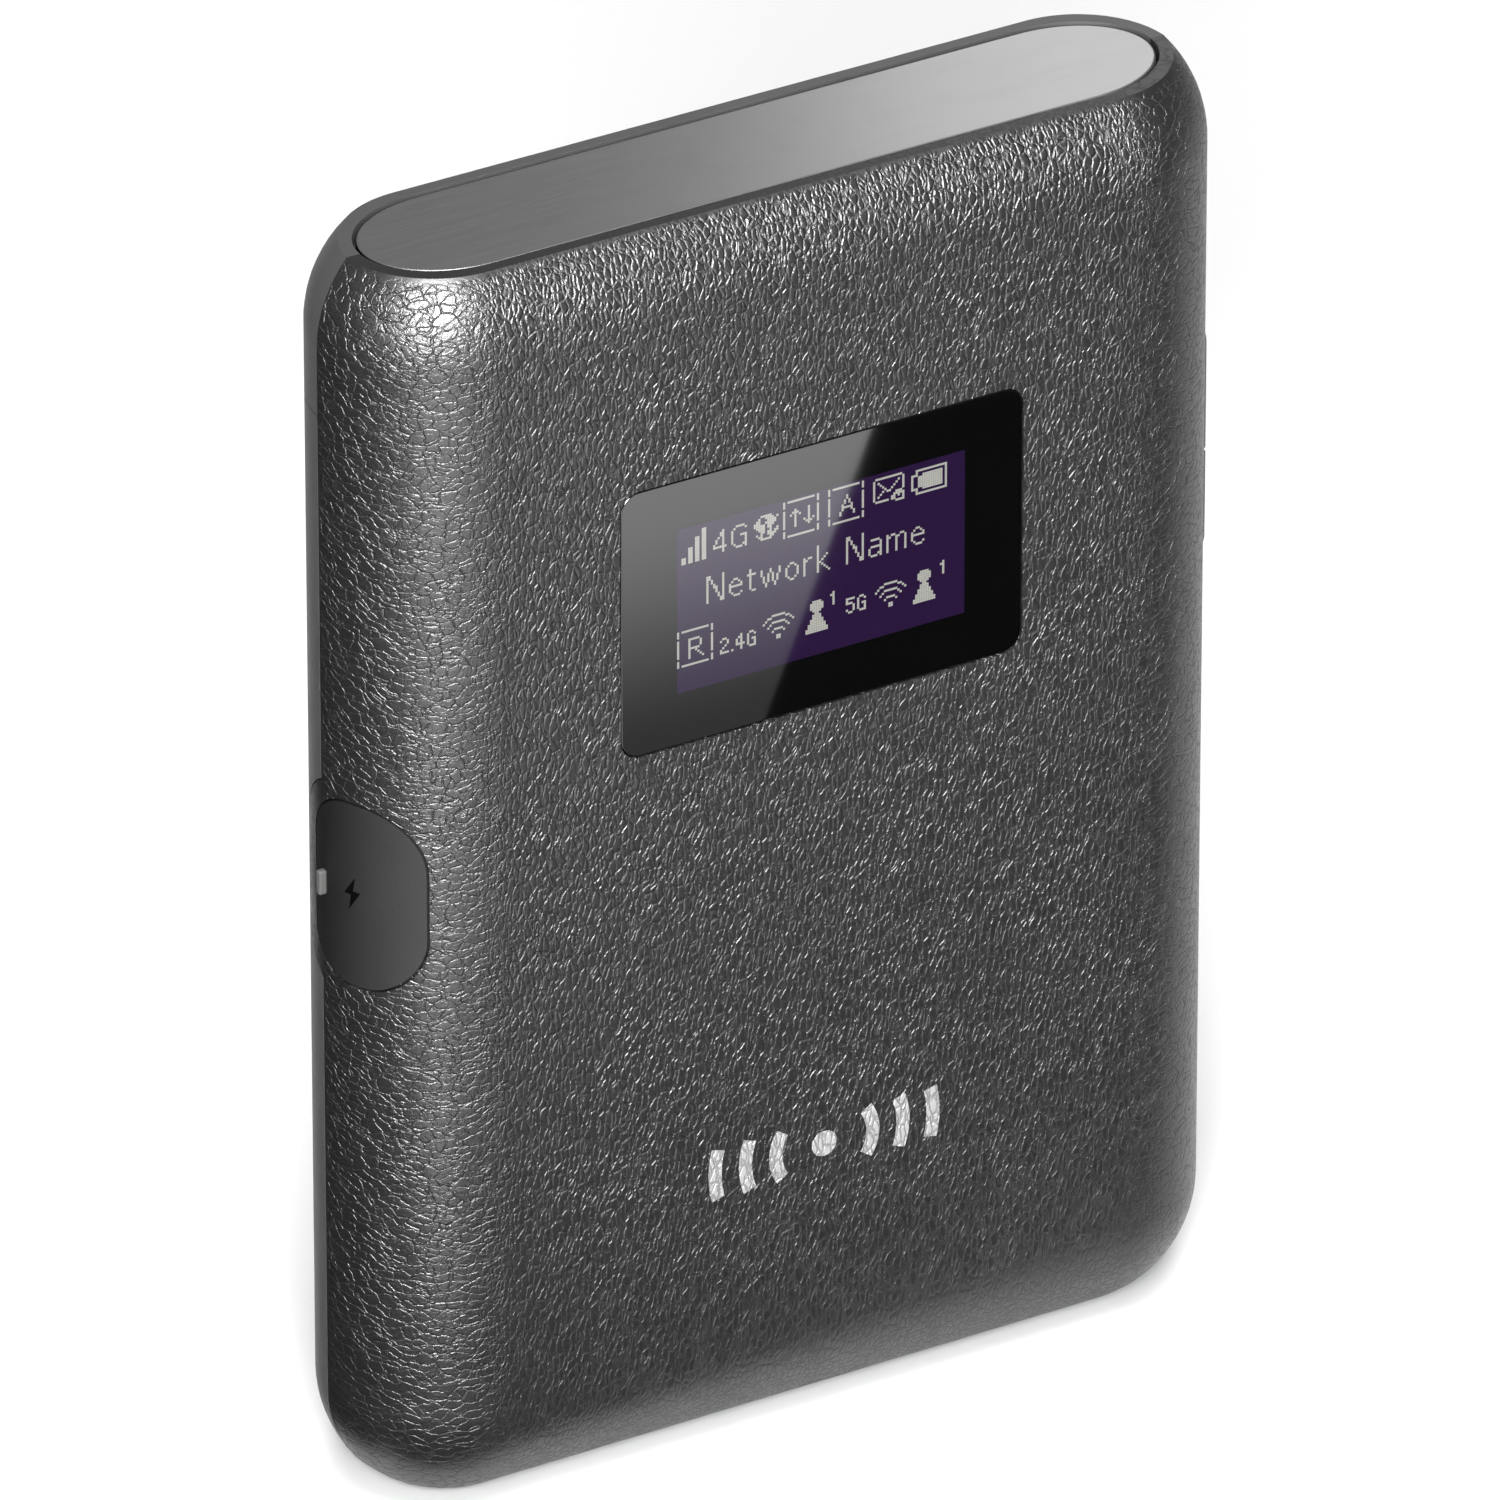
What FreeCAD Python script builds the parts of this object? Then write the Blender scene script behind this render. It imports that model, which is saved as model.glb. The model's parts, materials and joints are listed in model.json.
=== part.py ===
import FreeCAD, Part
import math
import os

# Mobile hotspot: a pocket wireless router that stands upright.
# Millimetres. +X is the viewer's right, -Y is the display side, +Z is up.
# The origin is on the standing face, under the middle of the case.
# The case is split at Y = 0: the front cover lies before it, the rear housing and
# the removable battery cover behind it.

V = FreeCAD.Vector

BEYOND = 1.0               # how far a cutting shape runs past what it cuts
OVERLAP = 0.01             # how far shapes that become one reach into each other

# ---------------------------------------------------------------- case
CASE_WIDTH = 65.5
CASE_HEIGHT = 92.8         # standing face to flat top
CASE_DEPTH = 16.6
ROUND_EXTRA = 0.55         # edge rounding beyond half the depth, so the sides lean in a little
CORNER_EXTRA = 0.25        # outline corner radius beyond the edge rounding
TOP_CROWN = 3.1            # part of the rounded outline that the flat top takes off
FOOT_CROWN = 0.5           # the same under the standing face
FRONT_WALL = 1.4
COVER_WALL = 1.2           # battery cover and rear rim
TOP_WALL = 1.2             # floor of the top plate's pocket
SHELL_GAP = 0.12           # parting gap round the battery cover
PART_DROP = 11.0           # flat top down to the battery cover's upper edge

HALF_WIDTH = CASE_WIDTH / 2
HALF_DEPTH = CASE_DEPTH / 2
EDGE_ROUND = HALF_DEPTH + ROUND_EXTRA
CORNER_RADIUS = EDGE_ROUND + CORNER_EXTRA
PART_LINE = CASE_HEIGHT - PART_DROP

# ---------------------------------------------------------------- top plate
PLATE_MARGIN = 3.25        # case side to the pocket's end
POCKET_HALF_DEPTH = 5.35
POCKET_END = 7.0           # length of each half-elliptical end
POCKET_DEPTH = 1.1
PLATE_GAP = 0.25
PLATE_THICK = 1.0
PLATE_EDGE = 0.15
PEG_RADIUS = 0.8
PEG_SPAN = 30.0
PEG_LENGTH = 1.0
PEG_FIT = 0.05

POCKET_HALF_LENGTH = HALF_WIDTH - PLATE_MARGIN
POCKET_FLOOR = CASE_HEIGHT - POCKET_DEPTH
CAVITY_TOP = POCKET_FLOOR - TOP_WALL

# ---------------------------------------------------------------- display
WINDOW_WIDTH = 30.1
WINDOW_HEIGHT = 19.6
WINDOW_DROP = 27.7         # flat top down to the window's middle
WINDOW_CORNER = 1.4
LENS_THICK = 0.8
LENS_SUNK = 0.04
LENS_GAP = 0.07
LENS_EDGE = 0.1
MODULE_WIDTH = 26.4        # glass of the display module
MODULE_HEIGHT = 15.9
MODULE_THICK = 1.2
MODULE_GAP = 0.2
MODULE_CORNER = 0.3
HOLDER_RIM = 2.2           # holder's frame outside the module
HOLDER_FLOOR = 1.1
HOLDER_CORNER = 1.0
GASKET_THICK = 0.4
FLEX_WIDTH = 11.0
FLEX_THICK = 0.15
FLEX_RISE = 1.0            # module's lower edge up to the flex
FLEX_BEND = 2.0            # straight end at the connector
FLEX_ROOM = 0.3
FLEX_BACK = 1.3            # flex runs this far behind the module
FLEX_REACH = 14.0          # module's lower edge down to the board connector
CONNECTOR_HEIGHT = 2.6
CONNECTOR_THICK = 0.9
CONNECTOR_SIDE = 0.8       # connector beyond the flex on each side

WINDOW_Z = CASE_HEIGHT - WINDOW_DROP
FACE_Y = -HALF_DEPTH
LENS_FRONT = FACE_Y + LENS_SUNK
LENS_BACK = LENS_FRONT + LENS_THICK
FRONT_INNER = FACE_Y + FRONT_WALL
MODULE_BACK = LENS_BACK + MODULE_THICK
HOLDER_FRONT = FRONT_INNER + GASKET_THICK

# ---------------------------------------------------------------- circuit board
BOARD_THICK = 1.0
BOARD_REAR = -1.2          # Y of the face towards the battery
BOARD_SIDE_GAP = 4.25      # case side to the board's edge
BOARD_BOTTOM = 13.5
BOARD_DROP = 12.0          # flat top down to the board's upper edge
BOARD_SCREW_INSET = 4.6    # board's side edge to its screws
BOARD_SCREW_EDGE = 2.6     # board's lower or upper edge to its screws
BOARD_FRONT = BOARD_REAR - BOARD_THICK
BOARD_HALF = HALF_WIDTH - BOARD_SIDE_GAP
BOARD_TOP = CASE_HEIGHT - BOARD_DROP

SHIELD_HEIGHT = 2.1
SHIELD_SHEET = 0.2
SHIELD_DROP = 51.0         # flat top down to both shields
SHIELD_RISE = 5.0          # board's lower edge up to both shields
MODEM_SHIELD_WIDTH = 24.0
WIFI_SHIELD_WIDTH = 12.0
SHIELD_SPACE = 2.0
SHIELD_CORNER = 0.6
CHIP_THICK = 0.9
CHIP_HALF_HEIGHT = 3.5
CHIP_SPACE = 1.6
MODEM_CHIP_HALF = 5.0
MEMORY_CHIP_HALF = 4.0
WIFI_CHIP_HALF = 3.5
PASSIVE_COUNT = 9
PASSIVE_PITCH = 3.0
PASSIVE_DROP = 1.6         # shields down to the row of coils and capacitors
PASSIVE_DEEP = 0.45
CAPACITOR_HALF = 0.5
CAPACITOR_HIGH = 0.5
COIL_HALF = 0.9
COIL_HIGH = 1.0

# ---------------------------------------------------------------- charging port and flap
PORT_DROP = 45.3           # flat top down to the port's middle
FLAP_LENGTH = 13.8
FLAP_FRONT = -6.93         # Y of the recess's front edge
FLAP_REAR = 1.07           # Y of its rear edge
FLAP_LEAN = 24.0           # its walls lean this many degrees from -X towards the front
FLAP_FRONT_RADIUS = 4.4
FLAP_REAR_RADIUS = 3.6
FLAP_THICK = 0.8
FLAP_GAP = 0.16
FLAP_SEAT = 0.05
EAR_MARGIN = 1.3           # front cover round the flap, behind the seam
NUB_Y = -0.3
NUB_HEIGHT = 1.8
NUB_WIDTH = 0.55
NUB_PROUD = 0.5
NUB_CORNER = 0.2
NUB_EDGE = 0.15
FLAP_PIVOT_IN = 0.16       # recess's front edge back to the hinge line, along Y
STRAP_THICK = 0.28         # thin strip along the flap's front edge, on which it bends
STRAP_REACH = 1.9          # its breadth, along Y
CORNER_EASE = 0.35         # the flap's front corners are this much rounder than the recess
PLUG_HEIGHT = 5.0
PLUG_THICK = 0.8
PLUG_LENGTH = 0.5          # inside the socket
PLUG_CORNER = 0.3
PLUG_ROOT = 0.3            # its hold in the door
USB_HEIGHT = 7.5
USB_THICK = 2.45
USB_LENGTH = 5.5
USB_SHEET = 0.3
USB_CORNER = 0.5
USB_SETBACK = 0.1          # flap's seat back to the socket's mouth
USB_GAP = 0.12
TONGUE_HEIGHT = 3.9
TONGUE_THICK = 0.6
TONGUE_SETBACK = 1.2       # socket's mouth back to the tongue
TONGUE_ROOT = 1.0
TONGUE_ROOT_INSET = 0.4
BLOCK_INNER = 2.3          # depth of the thick wall round the port

PORT_Z = CASE_HEIGHT - PORT_DROP
USB_Y = BOARD_FRONT - USB_THICK / 2

# ---------------------------------------------------------------- side keys
KEYS_DROP = 21.6           # flat top down to the upper key's upper end
UPPER_KEY_LENGTH = 9.3
LOWER_KEY_LENGTH = 7.85
KEY_HALF = 1.5
KEY_PROUD = 0.5
KEY_GAP = 0.1
KEY_NOTCH = 0.16           # between the two keys
KEY_END_RADIUS = 1.35
KEY_EDGE = 0.3
KEY_FLANGE = 0.35
KEY_FLANGE_THICK = 0.7
KEY_FLANGE_DEPTH = 1.9     # case side to the flange's outer face
KEY_EAR = 1.2
KEY_TRAVEL = 0.3
STEM_HALF = 0.7            # half width of the key's stem
SWITCH_LENGTH = 3.1
SWITCH_WIDTH = 4.2
SWITCH_HEIGHT = 2.4
SWITCH_OVERHANG = 0.4
PLUNGER_RADIUS = 0.6
PLUNGER_OUT = 0.85
PLUNGER_IN = 0.7
PLUNGER_FIT = 0.06
PLUNGER_ROOM = 0.2         # left behind a pressed plunger

KEYS_TOP = CASE_HEIGHT - KEYS_DROP
KEYS_SPLIT = KEYS_TOP - UPPER_KEY_LENGTH
KEYS_BOTTOM = KEYS_SPLIT - LOWER_KEY_LENGTH
SWITCH_FACE = BOARD_HALF + SWITCH_OVERHANG
PLUNGER_TIP = SWITCH_FACE + PLUNGER_OUT
SWITCH_Y = BOARD_REAR + SWITCH_HEIGHT / 2

# ---------------------------------------------------------------- rear housing and battery
FLOOR_THICK = 1.2
HOUSING_GAP = 0.15
HOUSING_INSET = max(FRONT_WALL, COVER_WALL) + HOUSING_GAP
SHELF_THICK = 1.2
BAY_SIDE = 10.25           # case side to the battery bay
BAY_BOTTOM = 8.0
BAY_DROP = 35.8            # flat top down to the battery bay
BAY_WALL = 1.2
BAY_WALL_TOP = 6.0         # Y of the bay wall's rim
BATTERY_GAP = 0.2
BATTERY_THICK = 5.4
BATTERY_FLOOR_GAP = 0.1
BATTERY_ROUND = 1.2
BATTERY_EDGE = 0.4
CONTACT_X = -12.0
CONTACT_WIDTH = 9.0
CONTACT_HEIGHT = 3.0
CONTACT_REACH = 4.4        # block height from the board
CONTACT_GAP = 0.15
BLADE_COUNT = 3
BLADE_PITCH = 2.6
BLADE_WIDTH = 1.0
BLADE_START = 0.3          # housing floor up to the blades
BLADE_END = 0.8            # blades' end below the block's face
BLADE_FIT = 0.08
BLADE_NEAR = 0.02          # battery's end to the blades
BLADE_SLOT_FLOOR = 1.2
BLADE_SLOT_ROOF = 0.4
COVER_RIB = 1.6
COVER_RIB_DEPTH = 0.6
COVER_RIB_LONG = 2.0
COVER_RIB_ROOT = 0.3       # rib's hold in the cover's wall
COVER_RIB_LOW = 8.0        # bay's lower end up to the lower ribs
COVER_RIB_HIGH = 12.0      # bay's upper end down to the upper ribs
NAIL_HALF = 5.0            # half length of the fingernail notch in the foot edge
NAIL_HEIGHT = 1.0
NAIL_DEPTH = 0.5
NAIL_IN = 8.0              # start of the corner rounding to the notch's middle

BAY_HALF = HALF_WIDTH - BAY_SIDE
BAY_TOP = CASE_HEIGHT - BAY_DROP
CONTACT_Z = BAY_TOP + CONTACT_GAP + CONTACT_HEIGHT / 2

# ---------------------------------------------------------------- SIM card and reset
SIM_LENGTH = 15.0
SIM_WIDTH = 12.0
SIM_THICK = 0.76
SIM_CORNER = 2.5
SIM_FIT = 0.08
SIM_DROP = 23.0            # flat top down to the card's middle
SIM_X = 5.0
SIM_BASE = 0.6
SIM_SHEET = 0.2
SIM_RAIL = 0.5
SIM_BARE = 1.5             # card's end outside the socket
SIM_STOP_SHEET = 4.0       # sheet left over the card's inner end
SIM_SIDE_SHEET = 2.5       # and along its sides
SIM_PULL = 14.0            # free length beside the socket
SIM_OPEN_GAP = 0.6
RESET_X = 19.0
RESET_SIZE = 3.0
RESET_THICK = 0.8
RESET_RADIUS = 0.5
RESET_FIT = 0.06
RESET_OUT = 0.35
RESET_IN = 0.5
RESET_ROOM = 0.25          # left behind a pressed plunger
RESET_HOLE = 0.9

SIM_Z = CASE_HEIGHT - SIM_DROP

# ---------------------------------------------------------------- screws
HOUSING_SCREW_X = 5.6      # case side to the screw
HOUSING_SCREW_LOW = 8.6
HOUSING_SCREW_DROP = 15.0
BOSS_RADIUS = 2.1
BOSS_GAP = 0.4
SCREW_RADIUS = 0.7
SCREW_FIT = 0.03
SCREW_LENGTH = 3.6
SCREW_HEAD_RADIUS = 1.4
SCREW_HEAD = 0.7
SCREW_CROSS_DEPTH = 0.4
SCREW_CROSS_HALF = 0.9     # half length of the cross
SCREW_CROSS_WIDTH = 0.18   # half width of its arms
SCREW_END_ROOM = 0.4       # hole left below the screw's end
HOLE_CLEAR = 0.15

# ---------------------------------------------------------------- antennas
ANTENNA_THICK = 0.2
ANTENNA_WIDTH = 17.0
ANTENNA_HEIGHT = 4.2
ANTENNA_X = 13.0
ANTENNA_LOW = 9.3
ANTENNA_DROP = 6.2         # flat top down to the wifi antennas' upper edge
ANTENNA_TAB = 3.0
ANTENNA_TAB_HALF = 1.5
ANTENNA_BOARD_GAP = 0.3    # board's lower edge down to the lower antennas
CLIP_WIDTH = 1.2
CLIP_INSET = 1.0           # board's upper edge to the upper clips
CLIP_FOOT = 0.4
CLIP_FOOT_THICK = 0.2


# ================================================================ helpers
def box(x0, x1, y0, y1, z0, z1):
    """Box between two corners."""
    return Part.makeBox(x1 - x0, y1 - y0, z1 - z0, V(x0, y0, z0))


def cylinder(radius, start, direction, length):
    """Cylinder from its start point along a direction."""
    return Part.makeCylinder(radius, length, start, direction)


def turned(shape, normal):
    """Shape drawn in XY at the origin, stood up so that its Z lies along normal."""
    if normal == "X":
        matrix = FreeCAD.Matrix(0, 0, 1, 0, 1, 0, 0, 0, 0, 1, 0, 0, 0, 0, 0, 1)
    else:
        matrix = FreeCAD.Matrix(1, 0, 0, 0, 0, 0, -1, 0, 0, 1, 0, 0, 0, 0, 0, 1)
    return shape.transformed(matrix, True)


def rounded_face(half_u, half_v, radius, left_radius=None):
    """Rounded rectangle in XY, centred on the origin. Its left corners may have their own radius."""
    arcs = []
    for su, sv in ((1, 1), (-1, 1), (-1, -1), (1, -1)):
        wanted = left_radius if su < 0 and left_radius is not None else radius
        r = min(wanted, half_u, half_v)
        c = math.sqrt(0.5) * r
        cu, cv = su * (half_u - r), sv * (half_v - r)
        ends = [V(cu + su * r, cv, 0), V(cu, cv + sv * r, 0)]
        if su * sv < 0:
            ends.reverse()
        arcs.append((ends[0], V(cu + su * c, cv + sv * c, 0), ends[1]))
    edges = []
    for i, (start, middle, end) in enumerate(arcs):
        edges.append(Part.Arc(start, middle, end).toShape())
        following = arcs[(i + 1) % 4][0]
        if end.distanceToPoint(following) > 1e-7:
            edges.append(Part.LineSegment(end, following).toShape())
    return Part.Face(Part.Wire(edges))


def prism_y(half_x, half_z, radius, x, z, y0, y1):
    """Rounded bar along Y, centred on x, z."""
    face = turned(rounded_face(half_x, half_z, radius), "Y")
    face.translate(V(x, y0, z))
    return face.extrude(V(0, y1 - y0, 0))


def prism_x(half_y, half_z, radius, y, z, x0, x1):
    """Rounded bar along X, centred on y, z."""
    face = turned(rounded_face(half_y, half_z, radius), "X")
    face.translate(V(x0, y, z))
    return face.extrude(V(x1 - x0, 0, 0))


def fused(first, *others):
    """One body out of shapes that touch."""
    return first.fuse(list(others)).removeSplitter() if others else first


def front_half(inset, top):
    """Front half of the case shape, shrunk by inset all round, flat at top and foot."""
    foot = -FOOT_CROWN + inset
    crown = CASE_HEIGHT + TOP_CROWN - inset
    face = turned(rounded_face(HALF_WIDTH - inset, (crown - foot) / 2, CORNER_RADIUS - inset), "Y")
    face.translate(V(0, -HALF_DEPTH + inset, (crown + foot) / 2))
    block = face.extrude(V(0, EDGE_ROUND - inset + 2 * BEYOND, 0))
    rim = [e for e in block.Edges if e.BoundBox.YMax < -HALF_DEPTH + inset + 1e-6]
    block = block.makeFillet(EDGE_ROUND - inset, rim)
    return block.common(box(-CASE_WIDTH, CASE_WIDTH, -CASE_DEPTH, 0, max(0, foot), top))


def rear_half(inset, top):
    """Rear half, the mirror image of the front half."""
    return front_half(inset, top).mirror(V(0, 0, 0), V(0, 1, 0))


def side_x(y, inset=0.0):
    """Distance from the middle plane to the case side at depth y, inset below the skin."""
    radius = EDGE_ROUND - inset
    return HALF_WIDTH - EDGE_ROUND + math.sqrt(radius ** 2 - (abs(y) + ROUND_EXTRA) ** 2)


def skin_point(y):
    """Point of the left side's skin at depth y, level with the port."""
    return V(-side_x(y), y, PORT_Z)


def flap_bar(margin, ease=0.0):
    """Bar through the left side with the port flap's outline, grown by margin, its front corners eased."""
    lean = math.radians(FLAP_LEAN)
    across = V(-math.sin(lean), math.cos(lean), 0)
    out = V(-math.cos(lean), -math.sin(lean), 0)
    front = skin_point(FLAP_FRONT)
    breadth = (skin_point(FLAP_REAR) - front).dot(across)
    face = rounded_face(breadth / 2 + margin, FLAP_LENGTH / 2 + margin,
                        FLAP_REAR_RADIUS + margin, FLAP_FRONT_RADIUS + margin + ease)
    middle = front + across * (breadth / 2) - out * EDGE_ROUND
    place = FreeCAD.Matrix(across.x, 0, out.x, middle.x, across.y, 0, out.y, middle.y,
                           0, 1, 0, middle.z, 0, 0, 0, 1)
    return face.transformed(place, True).extrude(out * (2 * EDGE_ROUND))


def plate_shape(shrink, z0, z1):
    """Bar along Z with the top plate's outline: straight sides and half-elliptical ends."""
    b = POCKET_HALF_DEPTH - shrink
    a = POCKET_END - shrink
    x = POCKET_HALF_LENGTH - POCKET_END
    edges = []
    for sign in (1, -1):
        ellipse = Part.Ellipse(V(sign * x, 0, z0), a, b)
        start = -math.pi / 2 if sign > 0 else math.pi / 2
        edges.append(Part.ArcOfEllipse(ellipse, start, start + math.pi).toShape())
        edges.append(Part.LineSegment(V(sign * x, sign * b, z0), V(-sign * x, sign * b, z0)).toShape())
    return Part.Face(Part.Wire(edges)).extrude(V(0, 0, z1 - z0))


def pivot():
    """Hinge line of the port flap, in the middle of its thin front strip."""
    skin = skin_point(FLAP_FRONT + FLAP_PIVOT_IN)
    centre = V(EDGE_ROUND - HALF_WIDTH, ROUND_EXTRA, PORT_Z)
    return skin + (centre - skin).normalize() * (STRAP_THICK / 2)


def housing_screw_points():
    """X, Z of the four screws between the rear housing and the front cover."""
    x = HALF_WIDTH - HOUSING_SCREW_X
    return [(s * x, z) for s in (-1, 1) for z in (HOUSING_SCREW_LOW, CASE_HEIGHT - HOUSING_SCREW_DROP)]


def board_screw_points():
    """X, Z of the three screws that hold the board."""
    x = BOARD_HALF - BOARD_SCREW_INSET
    low = BOARD_BOTTOM + BOARD_SCREW_EDGE
    return [(-x, low), (x, low), (0, BOARD_TOP - BOARD_SCREW_EDGE)]


def screw(x, z, seat):
    """Pan-head screw along Y, its head standing on the plane Y = seat."""
    head = cylinder(SCREW_HEAD_RADIUS, V(x, seat, z), V(0, 1, 0), SCREW_HEAD)
    shank = cylinder(SCREW_RADIUS, V(x, seat - SCREW_LENGTH, z), V(0, 1, 0), SCREW_LENGTH)
    body = fused(head, shank)
    top = seat + SCREW_HEAD
    long, short = SCREW_CROSS_HALF, SCREW_CROSS_WIDTH
    level = box(x - long, x + long, top - SCREW_CROSS_DEPTH, top + BEYOND, z - short, z + short)
    upright = box(x - short, x + short, top - SCREW_CROSS_DEPTH, top + BEYOND, z - long, z + long)
    return body.cut([level, upright])


# ================================================================ case parts
def front_cover():
    """Front half of the case, with the ears that hold the flap and the keys."""
    skin = front_half(0, CASE_HEIGHT)
    cavity = front_half(FRONT_WALL, CAVITY_TOP)
    cover = skin.cut(cavity)
    rear_skin = rear_half(0, CASE_HEIGHT).cut(rear_half(FRONT_WALL, CAVITY_TOP))
    port_ear = rear_skin.common(flap_bar(EAR_MARGIN))
    key_ear = rear_skin.common(key_outline(KEY_GAP + KEY_EAR, 0, CASE_WIDTH))
    block = front_half(FLAP_THICK, CAVITY_TOP).cut(front_half(BLOCK_INNER, CAVITY_TOP))
    block = block.common(flap_bar(EAR_MARGIN))
    block = block.common(box(-CASE_WIDTH, 0, -CASE_DEPTH, -HOUSING_GAP, 0, CASE_HEIGHT))
    cover = fused(cover, port_ear, key_ear, block)
    inside = front_half(FRONT_WALL / 2, CASE_HEIGHT)
    for x, z in housing_screw_points():
        boss = cylinder(BOSS_RADIUS, V(x, FACE_Y, z), V(0, 1, 0), HALF_DEPTH).common(inside)
        cover = fused(cover, boss)
    for x, z in board_screw_points():
        boss = cylinder(BOSS_RADIUS, V(x, FACE_Y, z), V(0, 1, 0), BOARD_FRONT - FACE_Y).common(inside)
        cover = fused(cover, boss)
    cover = cover.cut(front_cover_cuts())
    return cover


def front_cover_cuts():
    """Everything taken out of the front cover."""
    cuts = []
    grow = LENS_GAP
    cuts.append(prism_y(WINDOW_WIDTH / 2 + grow, WINDOW_HEIGHT / 2 + grow, WINDOW_CORNER + grow,
                        0, WINDOW_Z, FACE_Y - BEYOND, LENS_BACK))
    grow = MODULE_GAP
    cuts.append(prism_y(MODULE_WIDTH / 2 + grow, MODULE_HEIGHT / 2 + grow, MODULE_CORNER + grow,
                        0, WINDOW_Z, FACE_Y - BEYOND, FRONT_INNER + BEYOND))
    cuts.append(plate_shape(0, POCKET_FLOOR, CASE_HEIGHT + BEYOND))
    for x in (-PEG_SPAN / 2, PEG_SPAN / 2):
        cuts.append(cylinder(PEG_RADIUS + PEG_FIT, V(x, peg_y(), CAVITY_TOP - BEYOND), V(0, 0, 1),
                             TOP_WALL + 2 * BEYOND))
    cuts.append(flap_bar(0).cut(seat_core()))
    grow = USB_GAP
    cuts.append(prism_x(USB_THICK / 2 + grow, USB_HEIGHT / 2 + grow, USB_CORNER + grow, USB_Y, PORT_Z,
                        -CASE_WIDTH, -BOARD_HALF + BEYOND))
    cuts.append(key_outline(KEY_GAP, SWITCH_FACE, CASE_WIDTH))
    for x, z in housing_screw_points():
        cuts.append(screw_hole(x, z, FLOOR_THICK))
    for x, z in board_screw_points():
        cuts.append(screw_hole(x, z, BOARD_REAR))
    return cuts


def screw_hole(x, z, seat):
    """Blind hole for a screw whose head stands on the plane Y = seat."""
    start = V(x, seat - SCREW_LENGTH - SCREW_END_ROOM, z)
    return cylinder(SCREW_RADIUS + SCREW_FIT, start, V(0, 1, 0), SCREW_LENGTH + SCREW_END_ROOM)


def seat_core():
    """Case shape below the port flap, front and rear."""
    depth = FLAP_THICK + FLAP_SEAT
    return fused(front_half(depth, CASE_HEIGHT), rear_half(depth, CASE_HEIGHT))


def peg_y():
    """Y of the top plate's pegs, halfway from the seam to the pocket's front edge."""
    return -POCKET_HALF_DEPTH / 2


def key_outline(margin, x0, x1):
    """Bar along X with the outline of both side keys, grown by margin."""
    middle = (KEYS_TOP + KEYS_BOTTOM) / 2
    half = (KEYS_TOP - KEYS_BOTTOM) / 2
    return prism_x(KEY_HALF + margin, half + margin, KEY_END_RADIUS + margin, 0, middle, x0, x1)


def top_plate():
    """Satin plate let into the flat top, with two pegs."""
    top = POCKET_FLOOR + PLATE_THICK
    plate = plate_shape(PLATE_GAP, POCKET_FLOOR, top)
    rim = [e for e in plate.Edges if e.BoundBox.ZMin > top - 1e-6]
    plate = plate.makeFillet(PLATE_EDGE, rim)
    for x in (-PEG_SPAN / 2, PEG_SPAN / 2):
        peg = cylinder(PEG_RADIUS, V(x, peg_y(), POCKET_FLOOR - PEG_LENGTH), V(0, 0, 1),
                       PEG_LENGTH + PLATE_THICK / 2)
        plate = fused(plate, peg)
    return plate


def rear_housing():
    """Rear frame: the visible top rim, the shelf under it, the floor and the battery bay."""
    rim = rear_half(0, CASE_HEIGHT).cut(rear_half(COVER_WALL, CAVITY_TOP))
    rim = rim.common(box(-CASE_WIDTH, CASE_WIDTH, 0, CASE_DEPTH, PART_LINE, CASE_HEIGHT))
    shelf = rear_half(0, CASE_HEIGHT).common(
        box(-CASE_WIDTH, CASE_WIDTH, 0, CASE_DEPTH, PART_LINE, PART_LINE + SHELF_THICK))
    floor = rear_half(HOUSING_INSET, PART_LINE).common(
        box(-CASE_WIDTH, CASE_WIDTH, 0, FLOOR_THICK, 0, PART_LINE))
    outer = box(-BAY_HALF - BAY_WALL, BAY_HALF + BAY_WALL, FLOOR_THICK, BAY_WALL_TOP,
                BAY_BOTTOM - BAY_WALL, BAY_TOP + BAY_WALL)
    bay = box(-BAY_HALF, BAY_HALF, FLOOR_THICK, BAY_WALL_TOP, BAY_BOTTOM, BAY_TOP)
    housing = fused(rim, shelf, floor, outer.cut(bay))
    return housing.cut(rear_housing_cuts())


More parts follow.
